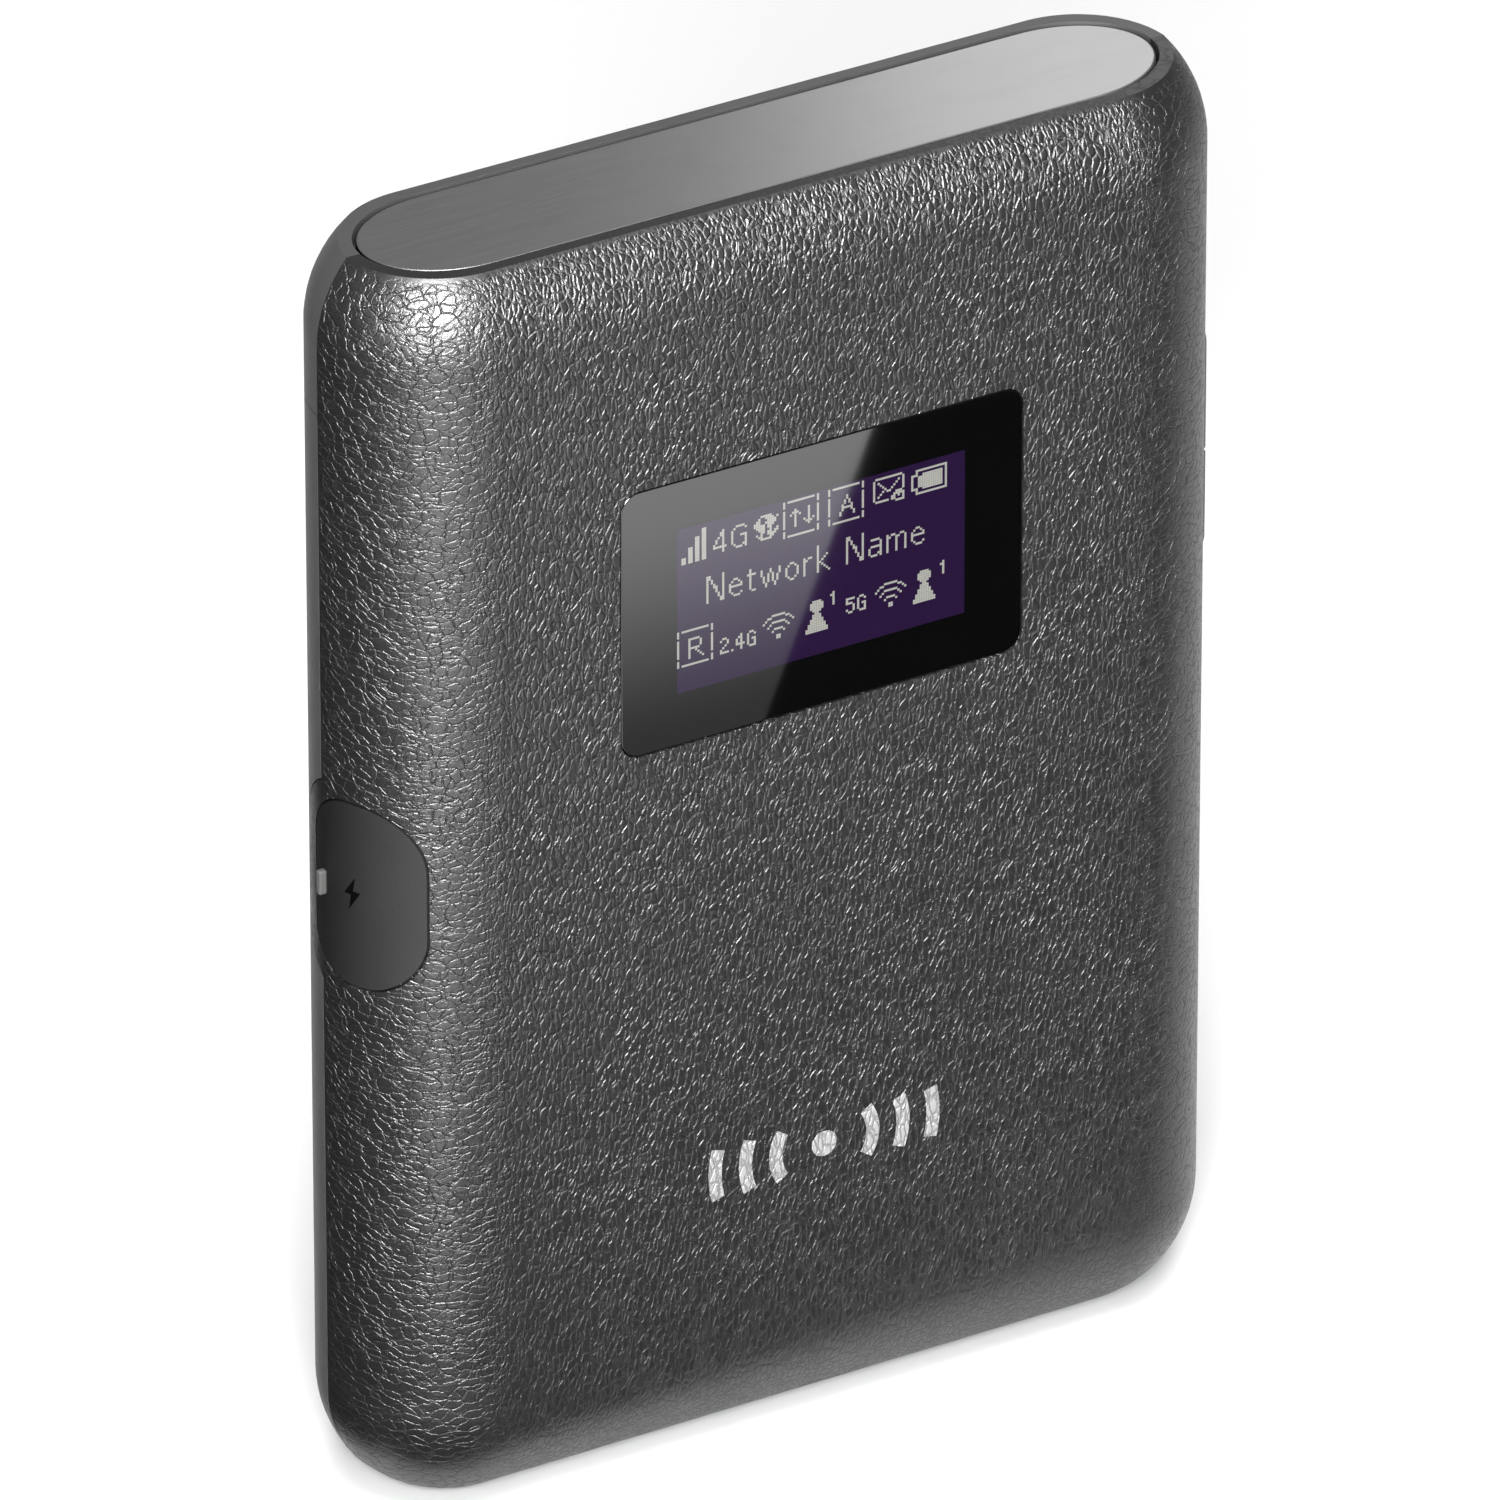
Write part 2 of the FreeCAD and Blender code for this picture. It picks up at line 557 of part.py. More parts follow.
def rear_housing_cuts():
    """Everything taken out of the rear housing."""
    cuts = [plate_shape(0, POCKET_FLOOR, CASE_HEIGHT + BEYOND)]
    keys = KEY_HALF + KEY_FLANGE + HOUSING_GAP
    cuts.append(box(SWITCH_FACE - SWITCH_LENGTH - BEYOND, CASE_WIDTH, -BEYOND, keys,
                    KEYS_BOTTOM - KEY_GAP - KEY_EAR - BEYOND, KEYS_TOP + KEY_GAP + KEY_EAR + BEYOND))
    for x, z in housing_screw_points():
        cuts.append(cylinder(SCREW_RADIUS + HOLE_CLEAR, V(x, -BEYOND, z), V(0, 1, 0),
                             FLOOR_THICK + 2 * BEYOND))
    for x, z in board_screw_points():
        cuts.append(cylinder(SCREW_HEAD_RADIUS + 2 * HOLE_CLEAR, V(x, -BEYOND, z), V(0, 1, 0),
                             BEYOND + FLOOR_THICK / 2))
    half = CONTACT_WIDTH / 2 + CONTACT_GAP
    cuts.append(box(CONTACT_X - half, CONTACT_X + half, -BEYOND, BOARD_REAR + CONTACT_REACH + BEYOND,
                    BAY_TOP - OVERLAP, CONTACT_Z + CONTACT_HEIGHT / 2 + CONTACT_GAP))
    x0, x1, z0, z1 = sim_room()
    cuts.append(box(x0, x1, -BEYOND, FLOOR_THICK + BEYOND, z0, z1))
    cuts.append(cylinder(RESET_HOLE, V(RESET_X, -BEYOND, SIM_Z), V(0, 1, 0), FLOOR_THICK + 2 * BEYOND))
    for x0, x1, z0, z1 in cover_rib_places():
        cuts.append(box(x0 - HOUSING_GAP, x1 + HOUSING_GAP, -BEYOND, FLOOR_THICK + BEYOND,
                        z0 - HOUSING_GAP, z1 + HOUSING_GAP))
    return cuts


def sim_room():
    """X and Z limits of the opening over the SIM socket and its card's travel."""
    half = SIM_WIDTH / 2 + SIM_RAIL + SIM_FIT + SIM_OPEN_GAP
    left = SIM_X - SIM_LENGTH / 2 - SIM_PULL - SIM_OPEN_GAP
    right = SIM_X + SIM_LENGTH / 2 + SIM_RAIL + SIM_FIT + SIM_OPEN_GAP
    return left, right, SIM_Z - half, SIM_Z + half


def cover_rib_places():
    """X and Z limits of the battery cover's ribs, which drop into notches of the housing floor."""
    out = side_x(0) - COVER_WALL
    reach = HOUSING_GAP + COVER_RIB_DEPTH + COVER_RIB_ROOT
    low = BAY_BOTTOM + COVER_RIB_LOW
    high = BAY_TOP - COVER_RIB_HIGH
    places = []
    for z in (low, high):
        for sign in (-1, 1):
            xs = sorted((sign * (out - reach), sign * (out + COVER_RIB_ROOT)))
            places.append((xs[0], xs[1], z - COVER_RIB_LONG, z + COVER_RIB_LONG))
    return places


def battery_cover():
    """Removable back, from the seam round to the flat back, with locating ribs."""
    top = PART_LINE - SHELL_GAP
    cover = rear_half(0, top).cut(rear_half(COVER_WALL, top + BEYOND))
    ribs = []
    for x0, x1, z0, z1 in cover_rib_places():
        rib = box(x0, x1, SHELL_GAP, SHELL_GAP + COVER_RIB, z0, z1)
        ribs.append(rib.common(rear_half(COVER_WALL / 2, top)))
    cover = fused(cover, *ribs)
    lower = box(-CASE_WIDTH, CASE_WIDTH, -BEYOND, SHELL_GAP, -BEYOND, CASE_HEIGHT)
    port = flap_bar(EAR_MARGIN + SHELL_GAP)
    keys = key_outline(KEY_GAP + KEY_EAR + SHELL_GAP, 0, CASE_WIDTH)
    nail = prism_y(NAIL_HALF, NAIL_HEIGHT, NAIL_HEIGHT, HALF_WIDTH - CORNER_RADIUS - NAIL_IN, 0,
                   -BEYOND, SHELL_GAP + NAIL_DEPTH)
    return cover.cut([lower, port, keys, nail])


# ================================================================ display
def display_window():
    """Glossy lens, let in flush with the front."""
    lens = prism_y(WINDOW_WIDTH / 2, WINDOW_HEIGHT / 2, WINDOW_CORNER, 0, WINDOW_Z, LENS_FRONT, LENS_BACK)
    rim = [e for e in lens.Edges if e.BoundBox.YMax < LENS_FRONT + 1e-6]
    return lens.makeFillet(LENS_EDGE, rim)


def display_panel():
    """Glass of the display module, bonded to the lens."""
    return prism_y(MODULE_WIDTH / 2, MODULE_HEIGHT / 2, MODULE_CORNER, 0, WINDOW_Z, LENS_BACK, MODULE_BACK)


def display_gasket():
    """Foam ring between the front cover and the display holder."""
    outer_x = MODULE_WIDTH / 2 + HOLDER_RIM
    outer_z = MODULE_HEIGHT / 2 + HOLDER_RIM
    ring = prism_y(outer_x, outer_z, HOLDER_CORNER, 0, WINDOW_Z, FRONT_INNER, HOLDER_FRONT)
    hole = prism_y(MODULE_WIDTH / 2 + MODULE_GAP, MODULE_HEIGHT / 2 + MODULE_GAP, MODULE_CORNER + MODULE_GAP,
                   0, WINDOW_Z, FRONT_INNER - BEYOND, HOLDER_FRONT + BEYOND)
    return ring.cut(hole)


def display_holder():
    """Moulded tray behind the display module."""
    outer_x = MODULE_WIDTH / 2 + HOLDER_RIM
    outer_z = MODULE_HEIGHT / 2 + HOLDER_RIM
    back = max(MODULE_BACK, HOLDER_FRONT) + HOLDER_FLOOR
    tray = prism_y(outer_x, outer_z, HOLDER_CORNER, 0, WINDOW_Z, HOLDER_FRONT, back)
    grow = MODULE_GAP
    pocket = prism_y(MODULE_WIDTH / 2 + grow, MODULE_HEIGHT / 2 + grow, MODULE_CORNER + grow,
                     0, WINDOW_Z, HOLDER_FRONT - BEYOND, MODULE_BACK)
    low = WINDOW_Z - MODULE_HEIGHT / 2
    side = FLEX_WIDTH / 2 + FLEX_ROOM
    slot = box(-side, side, HOLDER_FRONT - BEYOND, back + BEYOND,
               low - FLEX_ROOM, low + FLEX_RISE + 2 * FLEX_ROOM)
    return tray.cut([pocket, slot])


def display_flex():
    """Flexible circuit from the module's lower edge down to its connector."""
    top = WINDOW_Z - MODULE_HEIGHT / 2 + FLEX_RISE
    end = top - FLEX_REACH
    run = MODULE_BACK + FLEX_BACK
    drop = BOARD_FRONT - CONNECTOR_THICK - FLEX_THICK
    t = FLEX_THICK
    bend = end + FLEX_BEND
    foot = end - CONNECTOR_HEIGHT / 2
    points = [(MODULE_BACK, top), (run + t, top), (run + t, bend + t), (drop + t, bend + t),
              (drop + t, foot), (drop, foot), (drop, bend),
              (run, bend), (run, top - t), (MODULE_BACK, top - t)]
    corners = [V(-FLEX_WIDTH / 2, y, z) for y, z in points]
    face = Part.Face(Part.makePolygon(corners + [corners[0]]))
    return face.extrude(V(FLEX_WIDTH, 0, 0))


def flex_connector():
    """Low connector on the board that takes the display's flexible circuit."""
    end = WINDOW_Z - MODULE_HEIGHT / 2 + FLEX_RISE - FLEX_REACH
    side = FLEX_WIDTH / 2 + CONNECTOR_SIDE
    return box(-side, side, BOARD_FRONT - CONNECTOR_THICK, BOARD_FRONT,
               end - CONNECTOR_HEIGHT / 2, end + CONNECTOR_HEIGHT / 2)


# ================================================================ board and its parts
def main_board():
    """Circuit board, with its upper corners cut away for the housing screws."""
    board = box(-BOARD_HALF, BOARD_HALF, BOARD_FRONT, BOARD_REAR, BOARD_BOTTOM, BOARD_TOP)
    cuts = []
    screw_x = HALF_WIDTH - HOUSING_SCREW_X
    screw_z = CASE_HEIGHT - HOUSING_SCREW_DROP
    for sign in (-1, 1):
        x0, x1 = sorted((sign * (screw_x - BOSS_RADIUS - BOSS_GAP), sign * CASE_WIDTH))
        cuts.append(box(x0, x1, -CASE_DEPTH, 0, screw_z - BOSS_RADIUS - BOSS_GAP, CASE_HEIGHT))
    for x, z in board_screw_points():
        cuts.append(cylinder(SCREW_RADIUS + HOLE_CLEAR, V(x, -CASE_DEPTH, z), V(0, 1, 0), 2 * CASE_DEPTH))
    return board.cut(cuts)


def shield(x0, width):
    """Pressed metal can, open towards the board."""
    z0 = BOARD_BOTTOM + SHIELD_RISE
    z1 = CASE_HEIGHT - SHIELD_DROP
    s = SHIELD_SHEET
    can = prism_y(width / 2, (z1 - z0) / 2, SHIELD_CORNER, x0 + width / 2, (z0 + z1) / 2,
                  BOARD_FRONT - SHIELD_HEIGHT, BOARD_FRONT)
    room = prism_y(width / 2 - s, (z1 - z0) / 2 - s, SHIELD_CORNER - s, x0 + width / 2, (z0 + z1) / 2,
                   BOARD_FRONT - SHIELD_HEIGHT + s, BOARD_FRONT + BEYOND)
    return can.cut(room)


def shield_left():
    """X of the modem shield's left edge, so that both shields are centred on the board."""
    return -(MODEM_SHIELD_WIDTH + SHIELD_SPACE + WIFI_SHIELD_WIDTH) / 2


def modem_shield():
    return shield(shield_left(), MODEM_SHIELD_WIDTH)


def wifi_shield():
    return shield(shield_left() + MODEM_SHIELD_WIDTH + SHIELD_SPACE, WIFI_SHIELD_WIDTH)


def chip(x, z, half):
    """Flat chip on the board's front face."""
    return box(x - half, x + half, BOARD_FRONT - CHIP_THICK, BOARD_FRONT,
               z - CHIP_HALF_HEIGHT, z + CHIP_HALF_HEIGHT)


def radio_chips():
    """Modem, memory and wifi chips under the shields."""
    middle = (BOARD_BOTTOM + SHIELD_RISE + CASE_HEIGHT - SHIELD_DROP) / 2
    modem = shield_left() + MODEM_SHIELD_WIDTH / 2
    wifi = shield_left() + MODEM_SHIELD_WIDTH + SHIELD_SPACE + WIFI_SHIELD_WIDTH / 2
    left = modem - CHIP_SPACE / 2 - MODEM_CHIP_HALF
    right = modem + CHIP_SPACE / 2 + MEMORY_CHIP_HALF
    return Part.makeCompound([chip(left, middle, MODEM_CHIP_HALF), chip(right, middle, MEMORY_CHIP_HALF),
                              chip(wifi, middle, WIFI_CHIP_HALF)])


def passives():
    """Row of small coils and capacitors between the shields and the board's lower edge."""
    parts = []
    z = BOARD_BOTTOM + SHIELD_RISE - PASSIVE_DROP
    for i in range(PASSIVE_COUNT):
        x = PASSIVE_PITCH * (i - (PASSIVE_COUNT - 1) / 2)
        high, wide = (CAPACITOR_HIGH, CAPACITOR_HALF) if i % 3 else (COIL_HIGH, COIL_HALF)
        parts.append(box(x - wide, x + wide, BOARD_FRONT - high, BOARD_FRONT,
                         z - PASSIVE_DEEP, z + PASSIVE_DEEP))
    return Part.makeCompound(parts)


def usb_mouth():
    """X of the socket's mouth, just behind the flap's seat at the socket's front corner."""
    return -side_x(BOARD_FRONT - USB_THICK, FLAP_THICK + FLAP_SEAT) + USB_SETBACK


def usb_shell():
    """Folded metal shell of the micro-USB socket."""
    mouth = usb_mouth()
    shell = prism_x(USB_THICK / 2, USB_HEIGHT / 2, USB_CORNER, USB_Y, PORT_Z, mouth, mouth + USB_LENGTH)
    s = USB_SHEET
    room = prism_x(USB_THICK / 2 - s, USB_HEIGHT / 2 - s, USB_CORNER - s, USB_Y, PORT_Z,
                   mouth - BEYOND, mouth + USB_LENGTH - s)
    return shell.cut(room)


def usb_tongue():
    """Plastic tongue with the contacts, inside the socket."""
    mouth = usb_mouth()
    back = mouth + USB_LENGTH - USB_SHEET
    y0 = USB_Y - TONGUE_THICK / 2
    tongue = box(mouth + TONGUE_SETBACK, back, y0, y0 + TONGUE_THICK,
                 PORT_Z - TONGUE_HEIGHT / 2, PORT_Z + TONGUE_HEIGHT / 2)
    deep = USB_THICK / 2 - USB_SHEET
    high = USB_HEIGHT / 2 - USB_SHEET - TONGUE_ROOT_INSET
    root = box(back - TONGUE_ROOT, back, USB_Y - deep, USB_Y + deep, PORT_Z - high, PORT_Z + high)
    return fused(tongue, root)


# ================================================================ port flap
def port_flap():
    """Rubber door over the charging port, flush with the case side."""
    skin = fused(front_half(0, CASE_HEIGHT), rear_half(0, CASE_HEIGHT))
    core = fused(front_half(FLAP_THICK, CASE_HEIGHT), rear_half(FLAP_THICK, CASE_HEIGHT))
    door = skin.cut(core).common(flap_bar(-FLAP_GAP, CORNER_EASE))
    strap_room = front_half(STRAP_THICK, CASE_HEIGHT).common(
        box(-CASE_WIDTH, 0, -CASE_DEPTH, FLAP_FRONT + STRAP_REACH, 0, CASE_HEIGHT))
    door = door.cut(strap_room)
    nub = prism_x(NUB_WIDTH / 2, NUB_HEIGHT / 2, NUB_CORNER, NUB_Y, PORT_Z,
                  -(HALF_WIDTH + NUB_PROUD), -(HALF_WIDTH - FLAP_THICK / 2))
    tip = [e for e in nub.Edges if e.BoundBox.XMax < -(HALF_WIDTH + NUB_PROUD) + 1e-6]
    nub = nub.makeFillet(NUB_EDGE, tip)
    inner = side_x(USB_Y, FLAP_THICK)
    plug = prism_x(PLUG_THICK / 2, PLUG_HEIGHT / 2, PLUG_CORNER, USB_Y, PORT_Z,
                   -inner - PLUG_ROOT, usb_mouth() + PLUG_LENGTH)
    return fused(door, nub, plug)


# ================================================================ side keys
def side_key(z0, z1, low_gap, high_gap):
    """One side key: cap, inner flange and stem down to its switch."""
    low = z0 + low_gap
    high = z1 - high_gap
    cap = key_outline(0, HALF_WIDTH - KEY_FLANGE_DEPTH, HALF_WIDTH + KEY_PROUD)
    cap = cap.common(box(0, CASE_WIDTH, -KEY_HALF, KEY_HALF, low, high))
    face = [e for e in cap.Edges if e.BoundBox.XMin > HALF_WIDTH + KEY_PROUD - 1e-6]
    cap = cap.makeFillet(KEY_EDGE, face)
    flange_low = low if low_gap else low - KEY_FLANGE
    flange_high = high if high_gap else high + KEY_FLANGE
    x = HALF_WIDTH - KEY_FLANGE_DEPTH
    breadth = KEY_HALF + KEY_FLANGE
    flange = box(x - KEY_FLANGE_THICK, x, -breadth, breadth, flange_low, flange_high)
    middle = (low + high) / 2
    stem = box(PLUNGER_TIP, x, SWITCH_Y - STEM_HALF, SWITCH_Y + STEM_HALF,
               middle - STEM_HALF, middle + STEM_HALF)
    return fused(cap, flange, stem)


def power_key():
    return side_key(KEYS_SPLIT, KEYS_TOP, KEY_NOTCH / 2, 0)


def second_key():
    return side_key(KEYS_BOTTOM, KEYS_SPLIT, 0, KEY_NOTCH / 2)


def key_switch(z):
    """Side-push switch body on the board's rear face."""
    body = box(SWITCH_FACE - SWITCH_LENGTH, SWITCH_FACE, BOARD_REAR, BOARD_REAR + SWITCH_HEIGHT,
               z - SWITCH_WIDTH / 2, z + SWITCH_WIDTH / 2)
    floor = SWITCH_FACE - PLUNGER_IN - KEY_TRAVEL - PLUNGER_ROOM
    well = cylinder(PLUNGER_RADIUS + PLUNGER_FIT, V(floor, SWITCH_Y, z), V(1, 0, 0), SWITCH_LENGTH)
    return body.cut(well)


def key_plunger(z):
    """Round plunger between a switch and its key."""
    return cylinder(PLUNGER_RADIUS, V(SWITCH_FACE - PLUNGER_IN, SWITCH_Y, z), V(1, 0, 0),
                    PLUNGER_IN + PLUNGER_OUT)


def power_z():
    return (KEYS_TOP + KEYS_SPLIT + KEY_NOTCH / 2) / 2


def second_z():
    return (KEYS_BOTTOM + KEYS_SPLIT - KEY_NOTCH / 2) / 2


# ================================================================ battery, contacts, SIM, reset
def battery_pack():
    """Flat rechargeable cell that fills its bay."""
    y0 = FLOOR_THICK + BATTERY_FLOOR_GAP
    half = BAY_HALF - BATTERY_GAP
    block = box(-half, half, y0, y0 + BATTERY_THICK, BAY_BOTTOM + BATTERY_GAP, BAY_TOP - BATTERY_GAP)
    corners = [e for e in block.Edges if e.BoundBox.YLength > BATTERY_THICK / 2]
    block = block.makeFillet(BATTERY_ROUND, corners)
    rims = [e for e in block.Edges if e.BoundBox.YLength < 1e-6]
    return block.makeFillet(BATTERY_EDGE, rims)


def battery_contacts():
    """Plastic block that carries the battery's spring contacts."""
    half = CONTACT_WIDTH / 2
    block = box(CONTACT_X - half, CONTACT_X + half, BOARD_REAR, BOARD_REAR + CONTACT_REACH,
                CONTACT_Z - CONTACT_HEIGHT / 2, CONTACT_Z + CONTACT_HEIGHT / 2)
    slots = []
    for x in blade_places():
        slots.append(box(x - BLADE_WIDTH / 2, x + BLADE_WIDTH / 2, BOARD_REAR + BLADE_SLOT_FLOOR,
                         BOARD_REAR + CONTACT_REACH - BLADE_SLOT_ROOF, BAY_TOP - BEYOND, CONTACT_Z))
    return block.cut(slots)


def blade_places():
    """X of each contact blade."""
    return [CONTACT_X + BLADE_PITCH * (i - (BLADE_COUNT - 1) / 2) for i in range(BLADE_COUNT)]


def contact_blades():
    """Gilt blades that press on the end of the battery."""
    blades = []
    y0 = FLOOR_THICK + BLADE_START
    y1 = BOARD_REAR + CONTACT_REACH - BLADE_END
    for x in blade_places():
        half = BLADE_WIDTH / 2 - BLADE_FIT
        tip = BAY_TOP - BATTERY_GAP + BLADE_NEAR
        blades.append(box(x - half, x + half, y0, y1, tip, CONTACT_Z))
    return Part.makeCompound(blades)


def sim_card():
    """SIM card with its cut corner."""
    y = BOARD_REAR + SIM_BASE + SIM_FIT
    x0, x1 = SIM_X - SIM_LENGTH / 2, SIM_X + SIM_LENGTH / 2
    z0, z1 = SIM_Z - SIM_WIDTH / 2, SIM_Z + SIM_WIDTH / 2
    points = [V(x0, y, z0), V(x1, y, z0), V(x1, y, z1 - SIM_CORNER), V(x1 - SIM_CORNER, y, z1), V(x0, y, z1)]
    return Part.Face(Part.makePolygon(points + [points[0]])).extrude(V(0, SIM_THICK, 0))


def sim_socket():
    """Socket open towards -X, with rails, a stop and a slotted sheet over the card."""
    half = SIM_WIDTH / 2 + SIM_FIT
    x0 = SIM_X - SIM_LENGTH / 2 + SIM_BARE
    x1 = SIM_X + SIM_LENGTH / 2 + SIM_FIT
    top = BOARD_REAR + SIM_BASE + SIM_THICK + 2 * SIM_FIT
    outer = half + SIM_RAIL
    block = box(x0, x1 + SIM_RAIL, BOARD_REAR, top + SIM_SHEET, SIM_Z - outer, SIM_Z + outer)
    room = box(x0 - BEYOND, x1, BOARD_REAR + SIM_BASE, top, SIM_Z - half, SIM_Z + half)
    side = half - SIM_SIDE_SHEET
    window = box(x0 - BEYOND, x1 - SIM_STOP_SHEET, top - SIM_FIT, top + BEYOND, SIM_Z - side, SIM_Z + side)
    return block.cut([room, window])


def reset_switch():
    """Small switch under the reset hole."""
    half = RESET_SIZE / 2
    body = box(RESET_X - half, RESET_X + half, BOARD_REAR, BOARD_REAR + RESET_THICK,
               SIM_Z - half, SIM_Z + half)
    floor = BOARD_REAR + RESET_THICK - RESET_IN - RESET_ROOM
    well = cylinder(RESET_RADIUS + RESET_FIT, V(RESET_X, floor, SIM_Z), V(0, 1, 0), CASE_DEPTH)
    return body.cut(well)


def reset_plunger():
    """Round plunger of the reset switch."""
    start = BOARD_REAR + RESET_THICK - RESET_IN
    return cylinder(RESET_RADIUS, V(RESET_X, start, SIM_Z), V(0, 1, 0), RESET_IN + RESET_OUT)


# ================================================================ antennas and screws
def antenna(x, z0, z1, tab_sign):
    """Flexible antenna stuck to the inside of the front, with a contact tab towards the board."""
    y1 = FRONT_INNER + ANTENNA_THICK
    strip = box(x - ANTENNA_WIDTH / 2, x + ANTENNA_WIDTH / 2, FRONT_INNER, y1, z0, z1)
    t0, t1 = (z1 - OVERLAP, z1 + ANTENNA_TAB) if tab_sign > 0 else (z0 - ANTENNA_TAB, z0 + OVERLAP)
    tab = box(x - ANTENNA_TAB_HALF, x + ANTENNA_TAB_HALF, FRONT_INNER, y1, t0, t1)
    return fused(strip, tab).common(front_half(FRONT_WALL, CASE_HEIGHT))


def low_antenna(x):
    return antenna(x, ANTENNA_LOW, BOARD_BOTTOM - ANTENNA_BOARD_GAP, 1)


def high_antenna(x):
    top = CASE_HEIGHT - ANTENNA_DROP
    return antenna(x, top - ANTENNA_HEIGHT, top, -1)


def antenna_clips():
    """Spring clips between the antennas' tabs and the board."""
    clips = []
    y0 = FRONT_INNER + ANTENNA_THICK
    low = BOARD_BOTTOM + ANTENNA_TAB / 2
    high = CASE_HEIGHT - ANTENNA_DROP - ANTENNA_HEIGHT - ANTENNA_TAB / 2 - CLIP_INSET
    h = CLIP_WIDTH / 2
    for x in (-ANTENNA_X, ANTENNA_X):
        for z in (low, min(high, BOARD_TOP - CLIP_INSET)):
            post = box(x - h, x + h, y0, BOARD_FRONT, z - h / 2, z + h / 2)
            foot = box(x - h - CLIP_FOOT, x + h + CLIP_FOOT, BOARD_FRONT - CLIP_FOOT_THICK, BOARD_FRONT,
                       z - h, z + h)
            clips.append(fused(post, foot))
    return Part.makeCompound(clips)


def case_screws():
    """The screws of the housing and the board, all of one size."""
    housing = [screw(x, z, FLOOR_THICK) for x, z in housing_screw_points()]
    board = [screw(x, z, BOARD_REAR) for x, z in board_screw_points()]
    return Part.makeCompound(housing + board)


# ================================================================ write the parts
NODES = {
    "front_cover": front_cover,
    "rear_housing": rear_housing,
    "battery_cover": battery_cover,
    "top_plate": top_plate,
    "display_window": display_window,
    "display_panel": display_panel,
    "display_gasket": display_gasket,
    "display_holder": display_holder,
    "display_flex": display_flex,
    "flex_connector": flex_connector,
    "main_board": main_board,
    "modem_shield": modem_shield,
    "wifi_shield": wifi_shield,
    "radio_chips": radio_chips,
    "passives": passives,
    "usb_shell": usb_shell,
    "usb_tongue": usb_tongue,
    "port_flap": port_flap,
    "power_key": power_key,
    "second_key": second_key,
    "power_switch": lambda: key_switch(power_z()),
    "second_switch": lambda: key_switch(second_z()),
    "power_plunger": lambda: key_plunger(power_z()),
    "second_plunger": lambda: key_plunger(second_z()),
    "battery_pack": battery_pack,
    "battery_contacts": battery_contacts,
    "contact_blades": contact_blades,
    "sim_socket": sim_socket,
    "sim_card": sim_card,
    "reset_switch": reset_switch,
    "reset_plunger": reset_plunger,
    "main_antenna": lambda: low_antenna(-ANTENNA_X),
    "diversity_antenna": lambda: low_antenna(ANTENNA_X),
    "wifi_antenna_left": lambda: high_antenna(-ANTENNA_X),
    "wifi_antenna_right": lambda: high_antenna(ANTENNA_X),
    "antenna_clips": antenna_clips,
    "case_screws": case_screws,
}

os.makedirs("parts", exist_ok=True)
for node, make in NODES.items():
    shape = make()
    shape.exportStep("parts/" + node + ".step")
    print(node, "solids", len(shape.Solids), "valid", shape.isValid(), "volume", round(shape.Volume, 2))

print("flap pivot", [round(v, 3) for v in pivot()])
print("key travel", KEY_TRAVEL, "SIM pull", SIM_PULL)
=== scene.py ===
# %% [markdown]
# A pocket wireless router, 93 mm tall, stands on a pale table.
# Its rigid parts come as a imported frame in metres, already in place. This lesson gives
# each of them a finish, adds the thin printed and lit things that are too fine for the
# solid model, and then sets the table, the lamps and the camera.
# Sizes are worked out in millimetres and turned to metres at the last step.

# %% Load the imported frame
import json
import math

import bmesh
import bpy
from mathutils import Matrix, Vector


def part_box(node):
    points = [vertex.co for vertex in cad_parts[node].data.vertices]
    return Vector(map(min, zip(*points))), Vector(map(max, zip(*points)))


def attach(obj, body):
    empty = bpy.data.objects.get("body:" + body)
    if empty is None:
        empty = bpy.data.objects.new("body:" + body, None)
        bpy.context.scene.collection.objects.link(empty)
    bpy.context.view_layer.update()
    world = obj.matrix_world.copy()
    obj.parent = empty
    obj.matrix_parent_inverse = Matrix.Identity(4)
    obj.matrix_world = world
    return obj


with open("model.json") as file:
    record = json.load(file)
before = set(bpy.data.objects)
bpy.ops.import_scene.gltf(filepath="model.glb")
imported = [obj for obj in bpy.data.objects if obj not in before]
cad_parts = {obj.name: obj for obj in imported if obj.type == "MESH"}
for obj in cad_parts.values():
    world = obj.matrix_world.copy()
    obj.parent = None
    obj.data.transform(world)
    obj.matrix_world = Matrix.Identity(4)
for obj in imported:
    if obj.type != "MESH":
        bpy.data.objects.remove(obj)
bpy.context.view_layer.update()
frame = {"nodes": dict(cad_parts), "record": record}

MM = 0.001

# %% [markdown]
# A material here is a small network of nodes. Wiring it by hand is slow to read, so one
# class wraps a socket and lets plain Python sums stand for Math nodes, and a second one
# makes any other node in a single call. The alternative, a long list of links, hides
# what the finish is meant to do.


# %% Sums on sockets
class Wire:
    """A value in a material's network, for sums, products and comparisons."""

    def __init__(self, finish, socket):
        self.finish = finish
        self.socket = socket

    def math(self, operation, first, second=None):
        return self.finish.node("ShaderNodeMath", {"operation": operation}, {0: first, 1: second})

    def __add__(self, other):
        return self.math("ADD", self, other)

    def __radd__(self, other):
        return self.math("ADD", other, self)

    def __sub__(self, other):
        return self.math("SUBTRACT", self, other)

    def __rsub__(self, other):
        return self.math("SUBTRACT", other, self)

    def __mul__(self, other):
        return self.math("MULTIPLY", self, other)

    def __gt__(self, other):
        return self.math("GREATER_THAN", self, other)

    def __abs__(self):
        return self.math("ABSOLUTE", self)


